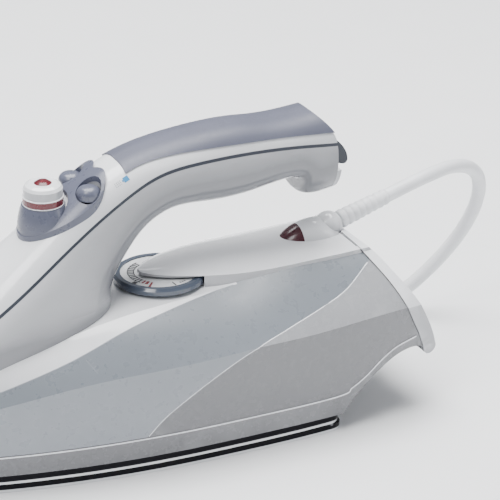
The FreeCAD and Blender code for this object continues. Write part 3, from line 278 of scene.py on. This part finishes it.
def reflection_banded(name, bands):
    """Polished metal with a painted reflection of dark surroundings in bands of height (low, high) in
    millimetres, and fine scratches.
    """
    paint = Paint(name)
    scratch = paint.noise(3800, 3.0, 0.6, (0.012, 1, 1))
    smear = paint.noise(45, 4.0)
    height = paint.height()
    colour = paint.mixed(paint.ranged(smear, 0.35, 0.7), CHROME, SMEARED_CHROME)
    for low, high in bands:
        above = paint.ranged(height, MM * (low - BAND_BLUR), MM * (low + BAND_BLUR))
        below = paint.ranged(height, MM * (high - BAND_BLUR), MM * (high + BAND_BLUR), 1.0, 0.0)
        both = paint.node("ShaderNodeMath", operation="MULTIPLY")
        paint.link(above, both.inputs[0])
        paint.link(below, both.inputs[1])
        colour = paint.mixed(both.outputs["Value"], colour, BLACK_REFLECTION)
    paint.colour(colour)
    paint.roughness(scratch, 0.04, 0.11)
    paint.bump(scratch, 0.000004, 0.5)
    return paint.set(metal=1.0)


TANK_DEEP = (0.185, 0.206, 0.232)
TANK_THIN = (0.20, 0.221, 0.247)
TANK_LOWER = (0.33, 0.35, 0.385)
TANK_RIM = (0.45, 0.50, 0.55)


def tank_clear():
    """Blue-grey translucent tank: cloudy inside, paler where it turns down."""
    paint = Paint("tank_clear")
    cloud = paint.noise(26, 2.0, 0.5, (0.35, 1, 0.8))
    fine = paint.noise(190, 3.0)
    body = paint.mixed(paint.ranged(cloud, 0.32, 0.68), TANK_DEEP, TANK_THIN)
    pale = paint.mixed(paint.ranged(paint.facing(), -0.3, 0.15), TANK_LOWER, body)
    paint.colour(paint.mixed(paint.edges(), pale, TANK_RIM))
    paint.roughness(fine, 0.24, 0.36)
    paint.bump(paint.noise(1300, 2.0), PEEL, 0.3)
    return paint.set(coat=0.12, coat_roughness=0.22, clear=0.06, ior=1.49)


def translucent(name, colour):
    """A deep tinted clear moulding, darker inside than at its rims."""
    paint = Paint(name)
    depth = paint.noise(120, 4.0)
    body = paint.mixed(paint.ranged(depth, *MOST_NOISE), tinted(colour, 0.75), tinted(colour, 1.35))
    paint.colour(paint.mixed(paint.edges(), body, tinted(colour, 1.6)))
    paint.roughness(paint.noise(300, 3.0), 0.22, 0.34)
    paint.bump(paint.noise(900, 2.0), PEEL, 0.3)
    return paint.set(coat=0.25, coat_roughness=0.2)


def woven_sleeve():
    """Heat-proof woven glass sleeving."""
    paint = textured("woven_sleeve", (0.78, 0.76, 0.70), 0.6, 0.8)
    wave = paint.node("ShaderNodeTexWave", bands_direction="DIAGONAL")
    wave.inputs["Scale"].default_value = 900
    paint.link(paint.place, wave.inputs["Vector"])
    paint.bump(wave.outputs["Fac"], 0.00012, 0.8)
    return paint


def cord_vinyl():
    """The lead's soft white sheath."""
    paint = textured("cord_vinyl", (0.72, 0.73, 0.75), 0.36, 0.5, 0.00003, 1800)
    return paint.set(coat=0.1)


# The shell top is the plastic's own white; the flank colours and the skirt's grey top are painted shade on
# that white plastic.
SHELL_TOP = (0.80, 0.81, 0.83)
SHELL_SHADED_FLANK = (0.36, 0.365, 0.385)
LOWER_SHADED_FLANK = (0.19, 0.195, 0.21)
SKIRT_SHADED_TOP = (0.32, 0.325, 0.34)
SKIRT_SHADED_FLANK = (0.15, 0.152, 0.162)
SLATE = (0.09, 0.097, 0.137)
GRIP = (0.085, 0.09, 0.125)
RED = (0.10, 0.004, 0.010)
PLUM = (0.045, 0.006, 0.012)
# Bands of height in millimetres that are black as a painted reflection of dark surroundings: on the
# soleplate's side and on the casting above it.
SOLE_REFLECTION_BANDS = [(1.4, 3.4)]
CASTING_REFLECTION_BANDS = [(5.0, 9.6)]

# Each paint with the CAD pieces that wear it.
PAINTS = {
    "white_shell": (shaded_shell("white_shell", SHELL_TOP, SHELL_SHADED_FLANK, SHELL_GLOSS), [
        "handle_cover", "handle_end_cap", "regulator_cap", "top_cover", "heel_cover", "cord_turret",
        "cord_ball"]),
    # The front housing's flanks carry a deeper painted shade than the other shells.
    "lower_shell": (shaded_shell("lower_shell", SHELL_TOP, LOWER_SHADED_FLANK, SHELL_GLOSS),
                    ["front_housing"]),
    "scale_white": (moulded("scale_white", (0.78, 0.79, 0.80), 0.2, 0.3), ["dial_scale"]),
    # The skirt and heat shield are grey as painted shade, darker still where they face the side and down.
    "skirt_shaded": (shaded_shell("skirt_shaded", SKIRT_SHADED_TOP, SKIRT_SHADED_FLANK, SKIRT_GLOSS),
                   ["body_skirt", "heat_shield"]),
    "tank_clear": (tank_clear(), ["water_tank"]),
    "flap_clear": (moulded("flap_clear", (0.50, 0.57, 0.63), 0.12, 0.2), ["filling_lid"]),
    "soft_grip": (textured("soft_touch", GRIP, 0.40, 0.54), ["soft_grip"]),
    # Painted shadow: the handle inlay is darkened to near black to stand for the shadow line along it.
    "inlay": (textured("inlay_painted_shadow", (0.022, 0.026, 0.038), 0.34, 0.48), ["handle_inlay"]),
    "slate": (moulded("slate_plastic", SLATE, 0.24, 0.36, 0.00004, 0.15), [
        "button_pad", "regulator_collar", "spray_button", "steam_button", "spray_nozzle"]),
    "rim": (moulded("rim_slate", (0.06, 0.075, 0.105), 0.12, 0.2), ["dial_rim"]),
    "red_clear": (translucent("red_clear", RED), ["regulator_ring", "regulator_insert"]),
    "plum_clear": (translucent("plum_clear", PLUM), ["indicator_lens"]),
    "lamp_clear": (translucent("lamp_clear", (0.5, 0.16, 0.10)), ["indicator_lamp"]),
    "mirror_sole": (reflection_banded("mirror_sole", SOLE_REFLECTION_BANDS), ["soleplate"]),
    "bright_casting": (reflection_banded("bright_casting", CASTING_REFLECTION_BANDS), ["sole_casting"]),
    "plated_steel": (metal("plated_steel", (0.58, 0.58, 0.57), 0.22, 0.4), [
        "heating_element", "chamber_cover", "sole_screws", "thermostat", "handle_screws", "lid_pin",
        "valve_rod", "spray_spring", "steam_spring"]),
    "silicone": (textured("silicone", (0.42, 0.10, 0.06), 0.38, 0.5), ["chamber_seal", "valve_seat"]),
    "sleeve": (woven_sleeve(), ["thermal_fuse", "inner_leads"]),
    "inner": (textured("inner_plastic", (0.66, 0.66, 0.63), 0.35, 0.5), [
        "thermostat_shaft", "spray_piston", "steam_piston", "spray_barrel", "steam_barrel", "pump_shelf",
        "terminal_block"]),
    "tie": (textured("tie_strap", (0.09, 0.09, 0.10), 0.45, 0.6), ["cord_tie"]),
    "vinyl": (cord_vinyl(), ["plug_body", "strain_relief", "power_cord", "cord_coil", "cord_tail"]),
    "nickel": (metal("nickel_plate", (0.66, 0.63, 0.57), 0.16, 0.3, (1, 1, 0.05)), ["plug_pins"]),
}
MARK_BLACK = moulded("mark_black", (0.022, 0.022, 0.028), 0.35, 0.5)
MARK_RED = moulded("mark_red", (0.22, 0.012, 0.02), 0.35, 0.5)
MARK_BLUE = moulded("mark_blue", (0.03, 0.21, 0.42), 0.35, 0.5)
SEAM_DARK = moulded("seam_dark", (0.09, 0.09, 0.10), 0.4, 0.55)
# A pale moulding, used for the regulator's trim hoops and for painted highlight lines along seams.
PALE_TRIM_AND_HIGHLIGHT = moulded("pale_trim_and_highlight", (0.86, 0.87, 0.90), 0.15, 0.25)
SEAM_GREY = moulded("seam_grey", (0.26, 0.28, 0.31), 0.3, 0.45)


def dress(piece, paint):
    piece.data.materials.clear()
    piece.data.materials.append(paint.material)


for paint, names in PAINTS.values():
    for name in names:
        dress(nodes[name], paint)


# ---------------------------------------------------------------- cord

CORD_DIAMETER = 0.007
LEAD_ROUTE = [
    (133.3, 0, 96.3),
    (155, 0.5, 102.1),
    (179, 7, 102),
    (198, 18, 89),
    (206, 31, 67),
    (202, 43, 43),
    (188, 52, 22),
    (168, 55, 8.5),
    (148, 55.4, 3.8),
    (127, 53, 3.6),
]
TAIL_ROUTE = [
    (79.4, 66.4, 10.6),
    (63, 81, 11),
    (49, 99, 14),
    (42, 121, 18.5),
]
COIL_CENTRE = (114.0, 101.0)
COIL_MIDDLE = 38.5
COLUMN_STEP = 7.0
COLUMNS = 4
TURN_POINTS = 24
LOW_LAYER = 3.6
HIGH_LAYER = 10.8
SHIFT_START = 0.80
CLIMB_START = 0.55
RETURN_START = 0.30
RETURN_END = 0.50
EXIT_SHARE = 0.125


def eased(value, start, end):
    """0 before start, 1 after end, and a smooth rise between them."""
    share = min(1.0, max(0.0, (value - start) / (end - start)))
    return share * share * (3 - 2 * share)


def coil_radius(turns):
    """The radius at a number of turns: column by column inwards below, outwards again on top."""
    outer = COIL_MIDDLE + 0.5 * (COLUMNS - 1) * COLUMN_STEP
    steps = 0.0
    for column in range(COLUMNS - 1):
        steps += eased(turns, column + SHIFT_START, column + 1)
    for column in range(COLUMNS - 1):
        start = COLUMNS + column
        steps -= eased(turns, start + RETURN_START, start + RETURN_END)
    return outer - COLUMN_STEP * steps


def coil_points():
    """The wound turns as seen from above, clockwise from the near side to where the tail leaves."""
    whole = 2 * COLUMNS - 1 + EXIT_SHARE
    count = round(whole * TURN_POINTS)
    points = []
    for index in range(count + 1):
        turns = whole * index / count
        angle = -0.5 * math.pi - 2 * math.pi * turns
        radius = coil_radius(turns)
        rise = eased(turns, COLUMNS - 1 + CLIMB_START, COLUMNS - 1 + SHIFT_START)
        points.append((COIL_CENTRE[0] + radius * math.cos(angle),
                       COIL_CENTRE[1] + radius * math.sin(angle),
                       LOW_LAYER + (HIGH_LAYER - LOW_LAYER) * rise))
    return points


def make_lead():
    """The mains lead from the relief to the plug, through its coil."""
    route = LEAD_ROUTE[:-1] + coil_points() + TAIL_ROUTE[1:]
    data = bpy.data.curves.new("mains_lead", "CURVE")
    data.dimensions = "3D"
    spline = data.splines.new("NURBS")
    spline.points.add(len(route) - 1)
    for point, place in zip(spline.points, route):
        point.co = (*(MM * part for part in place), 1.0)
    spline.order_u = 3
    spline.use_endpoint_u = True
    data.bevel_depth = 0.5 * CORD_DIAMETER
    data.bevel_resolution = 5
    data.resolution_u = 6
    data.use_fill_caps = True
    lead = bpy.data.objects.new("mains_lead", data)
    bpy.context.scene.collection.objects.link(lead)
    dress(lead, PAINTS["vinyl"][0])
    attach(lead, "cord_swivel")
    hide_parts("power_cord", "cord_coil", "cord_tail")
    return lead


lead = make_lead()


def made(name, mesh, paint, body, smooth=True):
    """Puts a new mesh in the scene with its material and body."""
    piece = bpy.data.objects.new(name, mesh)
    bpy.context.scene.collection.objects.link(piece)
    for face in mesh.polygons:
        face.use_smooth = smooth
    dress(piece, paint)
    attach(piece, body)
    return piece


def mesh_data(name, mesh):
    """Turns a bmesh into mesh data and frees it."""
    data = bpy.data.meshes.new(name)
    mesh.to_mesh(data)
    mesh.free()
    return data


def revolved(name, profile, origin, axis, sides=48):
    """A mesh turned from (radius, distance along the axis) points."""
    axis = Vector(axis).normalized()
    across = axis.orthogonal().normalized()
    third = axis.cross(across)
    mesh = bmesh.new()
    rings = []
    for radius, reach in profile:
        ring = []
        for side in range(sides):
            turn = 2 * math.pi * side / sides
            out = across * math.cos(turn) + third * math.sin(turn)
            ring.append(mesh.verts.new(Vector(origin) + axis * reach + out * radius))
        rings.append(ring)
    for low, high in zip(rings, rings[1:]):
        for side in range(sides):
            following = (side + 1) % sides
            mesh.faces.new((low[side], low[following], high[following], high[side]))
    mesh.faces.new(rings[0][::-1])
    mesh.faces.new(rings[-1])
    return mesh_data(name, mesh)


BALL_PLACE = Vector((0.1005, 0.0, 0.0875))
RELIEF_TILT = math.radians(15)
RELIEF_WAY = Vector((math.cos(RELIEF_TILT), 0, math.sin(RELIEF_TILT)))
RELIEF_START = 6.3
RELIEF_END = 34.0
RELIEF_RADIUS = 4.75
RELIEF_TAPER = 0.85
RIBS = 8
RIB_STEPS = 8
RIB_DEPTH = 0.55
RIB_FULLNESS = 0.6


def relief_profile():
    """A tapering sleeve with rounded ribs, in millimetres from the ball's centre."""
    profile = []
    for index in range(RIBS * RIB_STEPS + 1):
        share = index / (RIBS * RIB_STEPS)
        taper = RELIEF_RADIUS - RELIEF_TAPER * share
        rib = RIB_DEPTH * (abs(math.sin(math.pi * RIBS * share)) ** RIB_FULLNESS)
        reach = RELIEF_START + (RELIEF_END - RELIEF_START) * share
        profile.append((MM * (taper - RIB_DEPTH + rib), MM * reach))
    return profile


relief = made("ribbed_relief", revolved("ribbed_relief", relief_profile(), BALL_PLACE, RELIEF_WAY),
              PAINTS["vinyl"][0], "cord_swivel")
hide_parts("strain_relief")


# ---------------------------------------------------------------- seams and printed marks

def skin(*names):
    """The joint surface of several CAD nodes, for laying thin pieces on."""
    corners = []
    faces = []
    for name in names:
        data = nodes[name].data
        start = len(corners)
        corners += [vertex.co.copy() for vertex in data.vertices]
        faces += [[start + index for index in face.vertices] for face in data.polygons]
    return BVHTree.FromPolygons(corners, faces)


def smooth_line(points, steps=8):
    """Points on the Catmull-Rom curve through a few side-view points."""
    ends = [points[0]] + list(points) + [points[-1]]
    line = []
    for a, b, c, d in zip(ends, ends[1:], ends[2:], ends[3:]):
        for step in range(steps):
            t = step / steps
            line.append(tuple(
                0.5 * (2 * q + (r - p) * t + (2 * p - 5 * q + 4 * r - w) * t * t
                       + (3 * q - p - 3 * r + w) * t ** 3)
                for p, q, r, w in zip(a, b, c, d)))
    line.append(points[-1])
    return line


TOUCHING = 1e-7


def outward(surface, place):
    """The nearest point of a surface and the normal there on the side of the place."""
    hit, normal, _, _ = surface.find_nearest(place)
    if normal.dot(place - hit) < 0 and (place - hit).length > TOUCHING:
        normal = -normal
    return hit, normal


# Across a bead: how far out as a share of its width, and how high as a share of its lift.
BEAD_SECTION = [(-0.5, 0.03), (-0.3, 0.8), (0.3, 0.8), (0.5, 0.03)]


def bead(name, rows, width, lift, paint, surface):
    """A thin domed bead along (place, normal) rows, its edges sunk to the surface."""
    mesh = bmesh.new()
    strip = []
    for index, (place, normal) in enumerate(rows):
        before = rows[max(index - 1, 0)][0]
        after = rows[min(index + 1, len(rows) - 1)][0]
        across = (after - before).cross(normal).normalized()
        row = []
        for share, height in BEAD_SECTION:
            hit, _, _, _ = surface.find_nearest(place + across * (share * width))
            row.append(mesh.verts.new(hit + normal * (lift * height)))
        strip.append(row)
    for low, high in zip(strip, strip[1:]):
        for index in range(len(BEAD_SECTION) - 1):
            mesh.faces.new((low[index], high[index], high[index + 1], low[index + 1]))
    made(name, mesh_data(name, mesh), paint, "iron")


CLEAR_OF_IRON = 0.2


def side_seam(name, line, surface, paint, width, lift, drop=0.0):
    """A bead on both flanks along a side-view line of (x, z) points in millimetres."""
    for hand, side_name in ((-1, "near"), (1, "far")):
        rows = []
        for x, z in smooth_line(line):
            start = Vector((MM * x, CLEAR_OF_IRON * hand, MM * (z - drop)))
            hit, normal, _, _ = surface.ray_cast(start, Vector((0, -hand, 0)))
            if hit is not None:
                rows.append((hit, normal if normal.y * hand > 0 else -normal))
        bead(f"{name}_{side_name}", rows, MM * width, MM * lift, paint, surface)


SHIELD_LINE = [(-134, 20), (-90, 20), (-40, 20), (20, 20), (79, 20), (88, 23), (96, 27.5), (105, 34),
               (114, 38.3), (126, 40.3)]
TANK_FOOT_LINE = [(-21, 20.6), (-11, 31), (10, 45), (32, 56), (52, 61), (72, 65.5), (90, 70),
                  (107, 77)]
TANK_BROW_LINE = [(-118, 44), (-90, 54), (-57, 63.5), (-27, 71.6), (0, 75.6), (36, 78.4)]
HEEL_LINE = [(103.5, 85.5), (109, 78), (116, 66), (123, 50.5), (128.5, 38.6), (130.8, 31.5)]

body_skin = skin("body_skirt", "heat_shield", "water_tank", "front_housing")
side_seam("shield_seam", SHIELD_LINE, body_skin, SEAM_DARK, 0.7, 0.08)
# Painted highlights: a white line along the shield's lip and a pale line along the tank's foot.
side_seam("shield_lip_highlight", SHIELD_LINE, body_skin, PALE_TRIM_AND_HIGHLIGHT, 0.8, 0.22, 0.75)
side_seam("tank_foot_highlight", TANK_FOOT_LINE, body_skin, PALE_TRIM_AND_HIGHLIGHT, 0.45, 0.12)
side_seam("tank_brow_seam", TANK_BROW_LINE, body_skin, SEAM_GREY, 0.5, 0.08)
side_seam("heel_seam", HEEL_LINE, skin("body_skirt", "heel_cover", "water_tank", "top_cover"),
          SEAM_DARK, 0.6, 0.08, 0.2)

PRINT_RISE = 0.00016
PRINT_REACH = 0.02


def printed(name, outlines, place, across, along, paint, body, surface=None):
    """Flat marks from closed outlines of (across, along) millimetres, laid on a surface if one is given."""
    mesh = bmesh.new()
    normal = across.cross(along)
    for outline in outlines:
        ring = []
        for u, v in outline:
            spot = place + across * (MM * u) + along * (MM * v)
            if surface is not None:
                hit, _, _, _ = surface.ray_cast(spot + normal * PRINT_REACH, -normal)
                spot = hit if hit is not None else spot
            ring.append(mesh.verts.new(spot + normal * PRINT_RISE))
        mesh.faces.new(ring)
    made(name, mesh_data(name, mesh), paint, body, False)


def arc_mark(inner, outer, start, end, steps=10):
    """The outline of a band on the dial between two radii and two angles in degrees."""
    turns = [math.radians(start + (end - start) * step / steps) for step in range(steps + 1)]
    rim = [(outer * math.cos(turn), outer * math.sin(turn)) for turn in turns]
    core = [(inner * math.cos(turn), inner * math.sin(turn)) for turn in turns]
    return rim + core[::-1]


EAST = Vector((1, 0, 0))
NORTH = Vector((0, 1, 0))
DIAL_X = 0.0075
scale_place = Vector((DIAL_X, 0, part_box("dial_scale")[1].z))

# The dial's print: a ladder between two arcs, blocks at its end, a tick and three dots.
LADDER_RADII = (12.0, 15.5)
LADDER_LINE = 0.5
LADDER_ANGLES = (108, 206)
RUNG_START = 112
RUNG_STEP = 8
RUNG_WIDTH = 3.4
DOT_ANGLES = (281, 286, 291)
DOT_RADII = (15.4, 16.5)
DOT_WIDTH = 2.6
ladder_inner, ladder_outer = LADDER_RADII
rung_foot = ladder_inner + LADDER_LINE
rung_head = ladder_outer - LADDER_LINE
black_marks = [arc_mark(ladder_inner, rung_foot, *LADDER_ANGLES),
               arc_mark(rung_head, ladder_outer, *LADDER_ANGLES),
               arc_mark(15.9, 18.2, 196, 204, 3),
               arc_mark(13.6, 17.6, 269, 271.5, 2)]
for angle in range(RUNG_START, LADDER_ANGLES[1], RUNG_STEP):
    black_marks.append(arc_mark(rung_foot, rung_head, angle, angle + RUNG_WIDTH, 2))
for angle in DOT_ANGLES:
    black_marks.append(arc_mark(*DOT_RADII, angle, angle + DOT_WIDTH, 3))
printed("dial_print_black", black_marks, scale_place, EAST, NORTH, MARK_BLACK, "temperature_dial")
red_marks = [arc_mark(*LADDER_RADII, 209, 213, 3), arc_mark(*LADDER_RADII, 216, 222, 4),
             arc_mark(12.6, 18.4, 226, 230, 3)]
printed("dial_print_red", red_marks, scale_place, EAST, NORTH, MARK_RED, "temperature_dial")


def box_mark(x, y, width, height):
    """The outline of a rectangle round a middle point, in millimetres."""
    left, right = x - 0.5 * width, x + 0.5 * width
    low, high = y - 0.5 * height, y + 0.5 * height
    return [(left, low), (right, low), (right, high), (left, high)]


def surface_frame(surface, place, along):
    """A place on a surface with the ways across and along it, along as near as it can be to a given way."""
    hit, normal = outward(surface, place)
    along = (along - normal * along.dot(normal)).normalized()
    return hit, along.cross(normal), along


# The spray sign behind the buttons: a blue bottle over rows of grey drops.
ICON_PLACE = Vector((-0.0215, -0.0215, 0.147))
ICON_WAY = Vector((0.9, 0, 0.4))
DROP = 0.42
DROP_COLUMN = 0.9
DROP_ROW = 0.95
cover_skin = skin("handle_cover")
icon_place, icon_across, icon_along = surface_frame(cover_skin, ICON_PLACE, ICON_WAY)
printed("spray_icon_bottle", [box_mark(0, 2.2, 2.6, 2.8), box_mark(0, 0.4, 1.0, 0.7)], icon_place,
        icon_across, icon_along, MARK_BLUE, "iron", cover_skin)
dots = [box_mark(column * DROP_COLUMN, -DROP_COLUMN - DROP_ROW * row, DROP, DROP)
        for row in range(4) for column in (-1, 0, 1)]
printed("spray_icon_drops", dots, icon_place, icon_across, icon_along, SEAM_GREY, "iron", cover_skin)

# The tank's level mark: a line with four short ticks beside it.
LEVEL_PLACE = Vector((-0.053, -0.060, 0.078))
LEVEL_WAY = Vector((0.45, 0, -0.9))
tank_skin = skin("water_tank")
level_place, level_across, level_along = surface_frame(tank_skin, LEVEL_PLACE, LEVEL_WAY)
level_marks = [box_mark(0, 0, 0.6, 8.5)]
for index in range(4):
    level_marks.append(box_mark(-1.6 + 0.25 * index, -3.0 + 2.0 * index, 1.4, 0.45))
printed("level_marks", level_marks, level_place, level_across, level_along, SEAM_GREY, "iron",
        tank_skin)


# ---------------------------------------------------------------- buttons and regulator trim

PINHOLE = 0.05
STEM_RADIUS = 2.0
SPRING_ROOM = 3.9
CAP_BEVEL = (0.2, 0.3)
DOME_SHOULDER = 2.6
DOME_RISE = 1.2
DOME_FULLNESS = 0.75
DOME_STEPS = 10


def dome_profile(radius, foot, rest_top):
    """A button's profile in millimetres: a stem, a cap hollowed over the spring, a domed top."""
    under = foot + SPRING_ROOM
    shoulder = rest_top - DOME_SHOULDER
    top = rest_top + DOME_RISE
    profile = [(PINHOLE, foot), (STEM_RADIUS, foot), (STEM_RADIUS, under),
               (radius - CAP_BEVEL[0], under), (radius, under + CAP_BEVEL[1])]
    for step in range(DOME_STEPS):
        turn = 0.5 * math.pi * step / DOME_STEPS
        reach = radius * math.cos(turn) ** DOME_FULLNESS
        profile.append((reach, shoulder + (top - shoulder) * math.sin(turn)))
    profile.append((PINHOLE, top))
    return [(MM * reach, MM * height) for reach, height in profile]


for button, body in (("spray_button", "spray_pump"), ("steam_button", "steam_pump")):
    low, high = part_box(button)
    centre = 0.5 * (low + high)
    radius = 0.5 * (high.x - low.x) / MM
    profile = dome_profile(radius, low.z / MM, high.z / MM)
    cap = revolved(f"{button}_dome", profile, (centre.x, centre.y, 0), (0, 0, 1))
    dome = made(f"{button}_dome", cap, PAINTS["slate"][0], body)
    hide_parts(button)

ring_low, ring_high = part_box("regulator_ring")
ring_centre = 0.5 * (ring_low + ring_high)
ring_radius = 0.5 * (ring_high.x - ring_low.x) / MM


TRIM_PROUD = 0.30
TRIM_WIDTH = 0.7
TRIM_SINK = 0.12
TRIM_STEPS = 6
TRIM_SIDES = 72


def trim_profile(radius, height):
    """A thin rounded hoop standing just proud of the regulator's red band."""
    profile = []
    for step in range(TRIM_STEPS + 1):
        reach = radius + TRIM_PROUD * math.sin(math.pi * step / TRIM_STEPS)
        rise = height - 0.5 * TRIM_WIDTH + TRIM_WIDTH * step / TRIM_STEPS
        profile.append((MM * reach, MM * rise))
    return profile


for label, height in (("low", ring_low.z / MM + 0.1), ("high", ring_high.z / MM)):
    hoop = revolved(f"regulator_trim_{label}", trim_profile(ring_radius - TRIM_SINK, height),
                    (ring_centre.x, ring_centre.y, 0), (0, 0, 1), TRIM_SIDES)
    made(f"regulator_trim_{label}", hoop, PALE_TRIM_AND_HIGHLIGHT, "steam_regulator")


# ---------------------------------------------------------------- floor and light

FLOOR_DULL = (0.86, 0.87, 0.88)
FLOOR_CLEAN = (0.89, 0.895, 0.90)
FLOOR_HALF = 6.0
FLOOR_DROP = 0.0002


def make_floor():
    """A wide pale floor just under the iron."""
    paint = Paint("floor")
    cloud = paint.noise(3, 3.0)
    paint.colour(paint.mixed(paint.ranged(cloud, *MOST_NOISE), FLOOR_DULL, FLOOR_CLEAN))
    paint.roughness(paint.noise(40, 4.0), 0.55, 0.68)
    mesh = bmesh.new()
    bmesh.ops.create_grid(mesh, x_segments=2, y_segments=2, size=FLOOR_HALF)
    floor = bpy.data.objects.new("floor", mesh_data("floor", mesh))
    floor.location.z = cad_box[0].z - FLOOR_DROP
    bpy.context.scene.collection.objects.link(floor)
    dress(floor, paint)


WHITE = (1.0, 1.0, 1.0)
SKY = (0.93, 0.95, 1.0, 1.0)
SKY_STRENGTH = 0.46
MIDDLE = (0.03, 0, 0.08)


def make_light(name, place, target, size, power, colour=WHITE):
    """An area light at a place, turned towards a target."""
    data = bpy.data.lights.new(name, "AREA")
    data.shape = "RECTANGLE"
    data.size, data.size_y = size
    data.energy = power
    data.color = colour
    light = bpy.data.objects.new(name, data)
    light.location = place
    light.rotation_mode = "QUATERNION"
    light.rotation_quaternion = (Vector(target) - Vector(place)).to_track_quat("-Z", "Y")
    bpy.context.scene.collection.objects.link(light)


def make_world():
    """Even light from all round."""
    world = bpy.data.worlds.new("studio")
    bpy.context.scene.world = world
    world.use_nodes = True
    sky = world.node_tree.nodes["Background"]
    sky.inputs["Color"].default_value = SKY
    sky.inputs["Strength"].default_value = SKY_STRENGTH


make_floor()
make_world()
make_light("top", (0.1, 0.25, 1.5), MIDDLE, (1.3, 1.1), 62)
make_light("key", (-0.9, -0.5, 1.5), MIDDLE, (0.7, 0.7), 18)
make_light("side", (1.2, -1.0, 0.6), (0.05, 0, 0.08), (0.3, 1.0), 4.5, (0.95, 0.97, 1.0))
